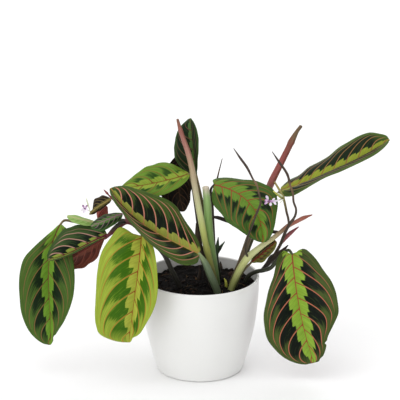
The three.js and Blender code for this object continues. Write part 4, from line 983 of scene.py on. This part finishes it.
# ---------------------------------------------------------------- right side
# A folded leaf that points up and out, a broad one that hangs down, and one behind the bent stalk.
petiole("far_right", olive_petiole, [
    [40, 8, 76, 2], [41, 9, 93, 2], [51, 12, 123, 2], [64, 14, 157, 1.9], [75, 12, 180, 1.8],
    [82, 8, 192, 1.7], [88, 4, 200, 1.2]])
leaf("far_right", 10, dict(
    lime="8c9630", dark="10200c", green="3a501c", green_2="526a28", vein="946a40", midrib="8a5e34",
    under="6a4a3c", blotch=(1.05, 0.86)),
    [[88, 4, 200], [122, 6, 210], [164, 4, 228], [203, -4, 259]],
    Half(1.05, 0.42, 3, [
        [0.05, -1, 9, 1], [0.1, -1, 14, 3], [0.2, -1, 16, 4], [0.3, -2, 23, 8], [0.4, -3, 22, 9],
        [0.5, -3, 24, 10], [0.6, -5, 23, 14], [0.7, -5, 20, 15], [0.8, -6, 20, 15], [0.9, -5, 16, 13],
        [0.96, -3, 9, 7]]),
    Half(0.95, 0.45, 4, [
        [0.1, 1, -20, -4], [0.2, 1, -23, -1], [0.3, 0, -22, 1], [0.4, 0, -22, 3], [0.5, -1, -21, 3],
        [0.6, -2, -21, 2], [0.7, -2, -21, 1], [0.8, -2, -20, 0], [0.9, -2, -18, -1], [0.96, -1, -13, -1]]),
    laterals=9, band_mm=8)
dark_green_skin = stalk_skin("dark_petiole_skin", [
    (0.0, "17150f"), (0.5, "262a1c"), (1.0, "3f4a2c")], streak="4a4a38", streaks=0.3)
petiole("lower_right", dark_green_skin, [
    [48, 6, 74, 2.2], [49, 5, 91, 2.3], [54, 3, 102, 2.4], [62, 0, 107.5, 2.4], [69, -3, 110, 2.4],
    [77, -6, 114, 2.3], [84, -7, 123, 2.2], [91, -7, 132, 1.9], [96.5, -9, 135.5, 1.7],
    [100, -14, 133, 1.4]])
leaf("lower_right", 11, dict(
    lime="86a83a", dark="0a120a", green="35451c", green_2="4e5e2a", vein="b0644e", midrib="944a34",
    under="6b2f35", blotch=(1.04, 0.7), vein_mm=0.65, midrib_mm=1.0),
    [[100, -14, 133], [103, -36, 100], [109, -48, 64], [124, -46, 19]],
    Half(0.95, 0.5, 7.5, [
        [0.02, 11, -3, 3], [0.05, 15, -4, 4], [0.1, 23, -5, 5], [0.2, 30, -9, 9], [0.3, 37, -12, 11],
        [0.4, 40, -14, 12], [0.5, 40, -16, 13], [0.6, 39, -15, 12], [0.7, 31, -12, 9], [0.8, 21, -9, 6.5],
        [0.9, 16, -7, 5]]),
    Half(1, 0.5, 9, [
        [0.1, -17, 1, -2], [0.2, -22, 0, -3], [0.3, -29, -2, -3], [0.4, -34, -5, -4], [0.5, -39, -8, -5],
        [0.6, -40, -6, -8], [0.7, -40, -3, -10], [0.8, -35, -1, -10], [0.9, -27, 0, -9]]),
    laterals=6.9, shifts=(0.17, 0.5), band_mm=(13.5, 12.5),
    nicks=[(-1, 0.84, 0.1, 0.02), (-1, 0.97, 0.15, 0.02)])
petiole("under_stalk", olive_petiole, [
    [38, -11, 78, 1.5], [40, -11, 96, 1.5], [47, -11, 112, 1.4], [56, -10, 122, 1.2]])
leaf("under_stalk", 12, dict(
    lime="8aa040", dark="2a4020", green="5a8a34", vein="7a3c28", midrib="7a3c28", under="6a6a2c",
    under_vein="6a2c20", under_dark="3f4420"),
    [[56, -10, 122], [66, -10, 131], [75, -9, 138.5], [83, -8.5, 145.5]],
    Half(0.8, 0.6, 0, [
        [0.1, 2, -1, -3], [0.2, 5, -2, -5], [0.3, 5, -2, -6], [0.4, 5, -2, -5], [0.6, 4, -2, -5],
        [0.8, 3, -1, -4], [0.9, 2, -1, -2]]),
    Half(1, 0.6, 0, [[0.45, -5, 12, 4]]),
    band_mm=3, step=0.6)


# ---------------------------------------------------------------- young leaves at the upper left
# A tuft at the joint of the left stem: a pale new leaf, a green one, a pink one and a dried one.
leaf("young_pale", 13, dict(
    lime="98b46a", dark="7fa052", green="8aaa5c", green_2="9aba6e", vein="b5c690", midrib="b5b080",
    under="a0b080", under_vein="8a9a60", under_dark="8a9a60", vein_mm=0.2),
    [[-111.4, -29.3, 174.6], [-121, -34, 177], [-132, -36, 182], [-142, -34, 183]],
    Half(1, 0.6, 0, [[0.2, 0, -3, -4], [0.5, -1, -4, -4.5], [0.8, -1, -3, -4]]),
    Half(1, 0.6, 0, [[0.2, -1, 3, 1], [0.5, 0, 5, 1], [0.8, 1, 4, 1]]),
    laterals=6, band_mm=2, step=0.5, wave=0.3)
leaf("small_left", 14, dict(
    lime="52743a", dark="1c2e16", green="304e24", green_2="44642e", vein="8a6a74", midrib="8a6a70",
    under="5a5a3c", blotch=(1.1, 0.8), vein_mm=0.35),
    [[-82.8, -29.4, 184.2], [-93, -43, 185], [-104, -50, 181], [-116, -50, 177]],
    Half(1, 0.6, 0, [
        [0.1, 2, -2, -3], [0.3, 4, -4, -5], [0.5, 4, -5, -6], [0.7, 4, -5, -7], [0.8, 3, -6, -7],
        [0.9, 2, -4, -5]]),
    Half(1, 0.6, 0, [[0.5, -4, 8, 2.5]]),
    laterals=6, band_mm=3, step=0.5, wave=0.5)
leaf("young_pink", 15, dict(
    lime="b06a5c", dark="8f4a42", green="a05a50", green_2="b0685c", vein="c08070", midrib="8a4038",
    under="a05a50", under_vein="8a4038", under_dark="8f4a42", vein_mm=0.25),
    [[-109.5, -27.3, 177], [-108, -28, 186], [-103, -28, 189], [-99, -26, 191]],
    Half(1, 0.6, 0, [[0.5, 6, 4, -7]]),
    Half(1, 0.6, 0, [[0.5, -3, 8, 4]]),
    laterals=6, band_mm=2, step=0.5, wave=0.3)
leaf("dried", 16, dict(
    lime="55522a", dark="1c150e", green="2a2014", green_2="40341e", vein="7a6a3c", midrib="8a7a44",
    under="4a3a24", under_vein="7a6a3c", under_dark="2a2014", vein_mm=0.3, roughness=0.6),
    [[-95, -27, 200.2], [-101, -34, 198], [-111, -40, 195], [-118, -41, 187]],
    Half(1, 0.6, 0, [[0.1, 1, 0, -2], [0.3, 2, 0, -3], [0.5, 2, 0, -4], [0.7, 2, 0, -4], [0.9, 2, 0, -2]]),
    Half(1, 0.6, 0, [
        [0.1, -6, 5, 3], [0.2, -7, 7, 3], [0.4, -7, 9, 3], [0.5, -7, 9, 3], [0.6, -5, 8, 2], [0.7, -3, 5, 1],
        [0.8, -1, 2, 0], [0.9, -1, 2, 0]]),
    laterals=6, band_mm=2, step=0.5, wave=0.8)


# ---------------------------------------------------------------- flowers
# Two small spent flowers: a thin white tube, lilac and white petals with mauve tips, and a bract.
PETAL_ROWS = 12
PETAL_COLUMNS = 11
PETAL_HALF_THICKNESS = 0.16


def petals(name, slot, skin, shapes):
    """Lens-thin petals as one piece. Each is (root, tip, side, cup, tone): u runs from root to tip and
    v across. The half width is side times the sine of half a turn of u to the power 1.3, itself to the
    power 0.6; the petal is hollowed by cup times (v squared - 1) and curls back by cup times u cubed.
    tone is the place in the colours of the skin at its root; a fifth of them is used up to the tip."""
    root, tip, side = (np.array([shape[k] for shape in shapes], float)[:, None, None] for k in range(3))
    cup, tone = (np.array([shape[k] for shape in shapes], float)[:, None, None, None] for k in (3, 4))
    u = np.linspace(0, 1, PETAL_ROWS)[None, :, None, None]
    v = np.linspace(-1, 1, PETAL_COLUMNS)[None, None, :, None]
    width = np.clip(np.sin(np.pi * u ** 1.3), 0, None) ** 0.6
    up = np.cross(tip - root, side)
    up = up / np.linalg.norm(up, axis=-1, keepdims=True)
    sheet = root + (tip - root) * u + side * width * v + up * cup * ((v ** 2 - 1) * width + u ** 3)
    thick = PETAL_HALF_THICKNESS * width * np.sqrt(1 - v ** 2)
    points = np.concatenate([sheet + up * thick, sheet - up * thick], axis=1)
    face, count = grid_faces(PETAL_ROWS, PETAL_COLUMNS), PETAL_ROWS * PETAL_COLUMNS
    faces = copies(np.vstack([face, count + face[:, ::-1]]), 2 * count, len(shapes))
    run = np.concatenate([tone + 0.2 * u + 0 * v, 0.2 * v + 0 * u * tone, tone + 0 * u * v], axis=-1)
    run = np.concatenate([run, run], axis=1)
    piece = mesh_object(name, points.reshape(-1, 3) + PLANT_BASE, faces, skin, {"run": run.reshape(-1, 3)})
    keep(piece, slot, slot)


# Petals and tube: pale green where they start, then white, lilac, and mauve at the withered tips.
petal_skin = stalk_skin("petal_skin", [
    (0.0, "c2cc9a"), (0.2, "dfe4cc"), (0.3, "f4f1f6"), (0.5, "ebe0f0"), (0.6, "dcc2e0"),
    (0.7, "c49ac6"), (0.8, "6e4468")], streak="b08ab8", streaks=0.35)
stalk("flower_left_tube", "flower_left", petal_skin, [
    [-116.7, -40, 190.5, 0.6], [-119.5, -39.5, 191.5, 0.7], [-122, -39.5, 193, 1.1],
    [-123.5, -39.5, 194, 0.6]], sides=12, step=0.5)
petals("flower_left_petals", "flower_left", petal_skin, [
    ((-122, -39.8, 193), (-124, -42, 189), (1.5, 0.3, -0.6), 0.5, 0.3),
    ((-122.6, -39.8, 193.4), (-127, -41.5, 192.4), (0.2, 0.4, 1.3), 0.4, 0.32),
    ((-123, -39.8, 193.8), (-124.6, -41.5, 198), (1.1, 0.2, 0.5), 0.5, 0.6),
    ((-122.4, -39.8, 193.8), (-119.4, -41.2, 197.6), (0.8, 0.2, -0.8), 0.4, 0.6),
    ((-121.6, -39.8, 192.8), (-118.8, -42.5, 191.6), (0.4, 0.2, 1.0), 0.3, 0.3),
    ((-116.9, -40, 190.6), (-121.2, -40.4, 206.2), (0.8, 0, 0.25), 0.3, 0.0)])
stalk("flower_right_tube", "flower_right", petal_skin, [
    [90, -21, 199, 0.7], [86, -23.5, 198, 0.8], [80, -27, 197.5, 1.2], [75, -29, 198, 1.3],
    [72, -29.5, 198.3, 1.6], [69.5, -30, 198.6, 0.8]], step=0.5)
petals("flower_right_petals", "flower_right", petal_skin, [
    ((74, -29.2, 198.2), (69, -31.8, 196.4), (0.8, 0.5, 2.0), 0.8, 0.5),
    ((73.5, -29.3, 198.4), (69.6, -32.2, 200.6), (1.0, 0.3, 1.5), 0.6, 0.52),
    ((73, -29.5, 199.3), (70.6, -31, 205), (1.5, 0.2, 0.4), 0.6, 0.4),
    ((75, -29.2, 197.4), (75.6, -32, 193.6), (1.4, 0.2, 0.3), 0.5, 0.3),
    ((78, -28, 197.6), (81.6, -30.5, 194.8), (0.7, 0.2, 1.1), 0.4, 0.3),
    ((77, -28.3, 198.6), (79.8, -30.4, 201.8), (1.0, 0.2, -0.7), 0.4, 0.3)])

# The bract that held the flower: a rolled lime-yellow part and two pale blades.
stalk("bract_right_rolled", "bract_right", lime_skin, [
    [89.5, -21, 198, 0.7], [86, -25, 201, 0.9], [81, -29, 207, 1], [78, -31, 210, 0.5]],
    sides=12, step=0.5)
petals("bract_right_blades", "bract_right", petal_skin, [
    ((90.8, -21.4, 199.4), (81.4, -25, 206), (0.6, 0.2, 1.4), 0.6, 0.0),
    ((90.4, -21.4, 198.6), (84.4, -26, 194.2), (0.8, 0.2, 1.0), 0.4, 0.02)])
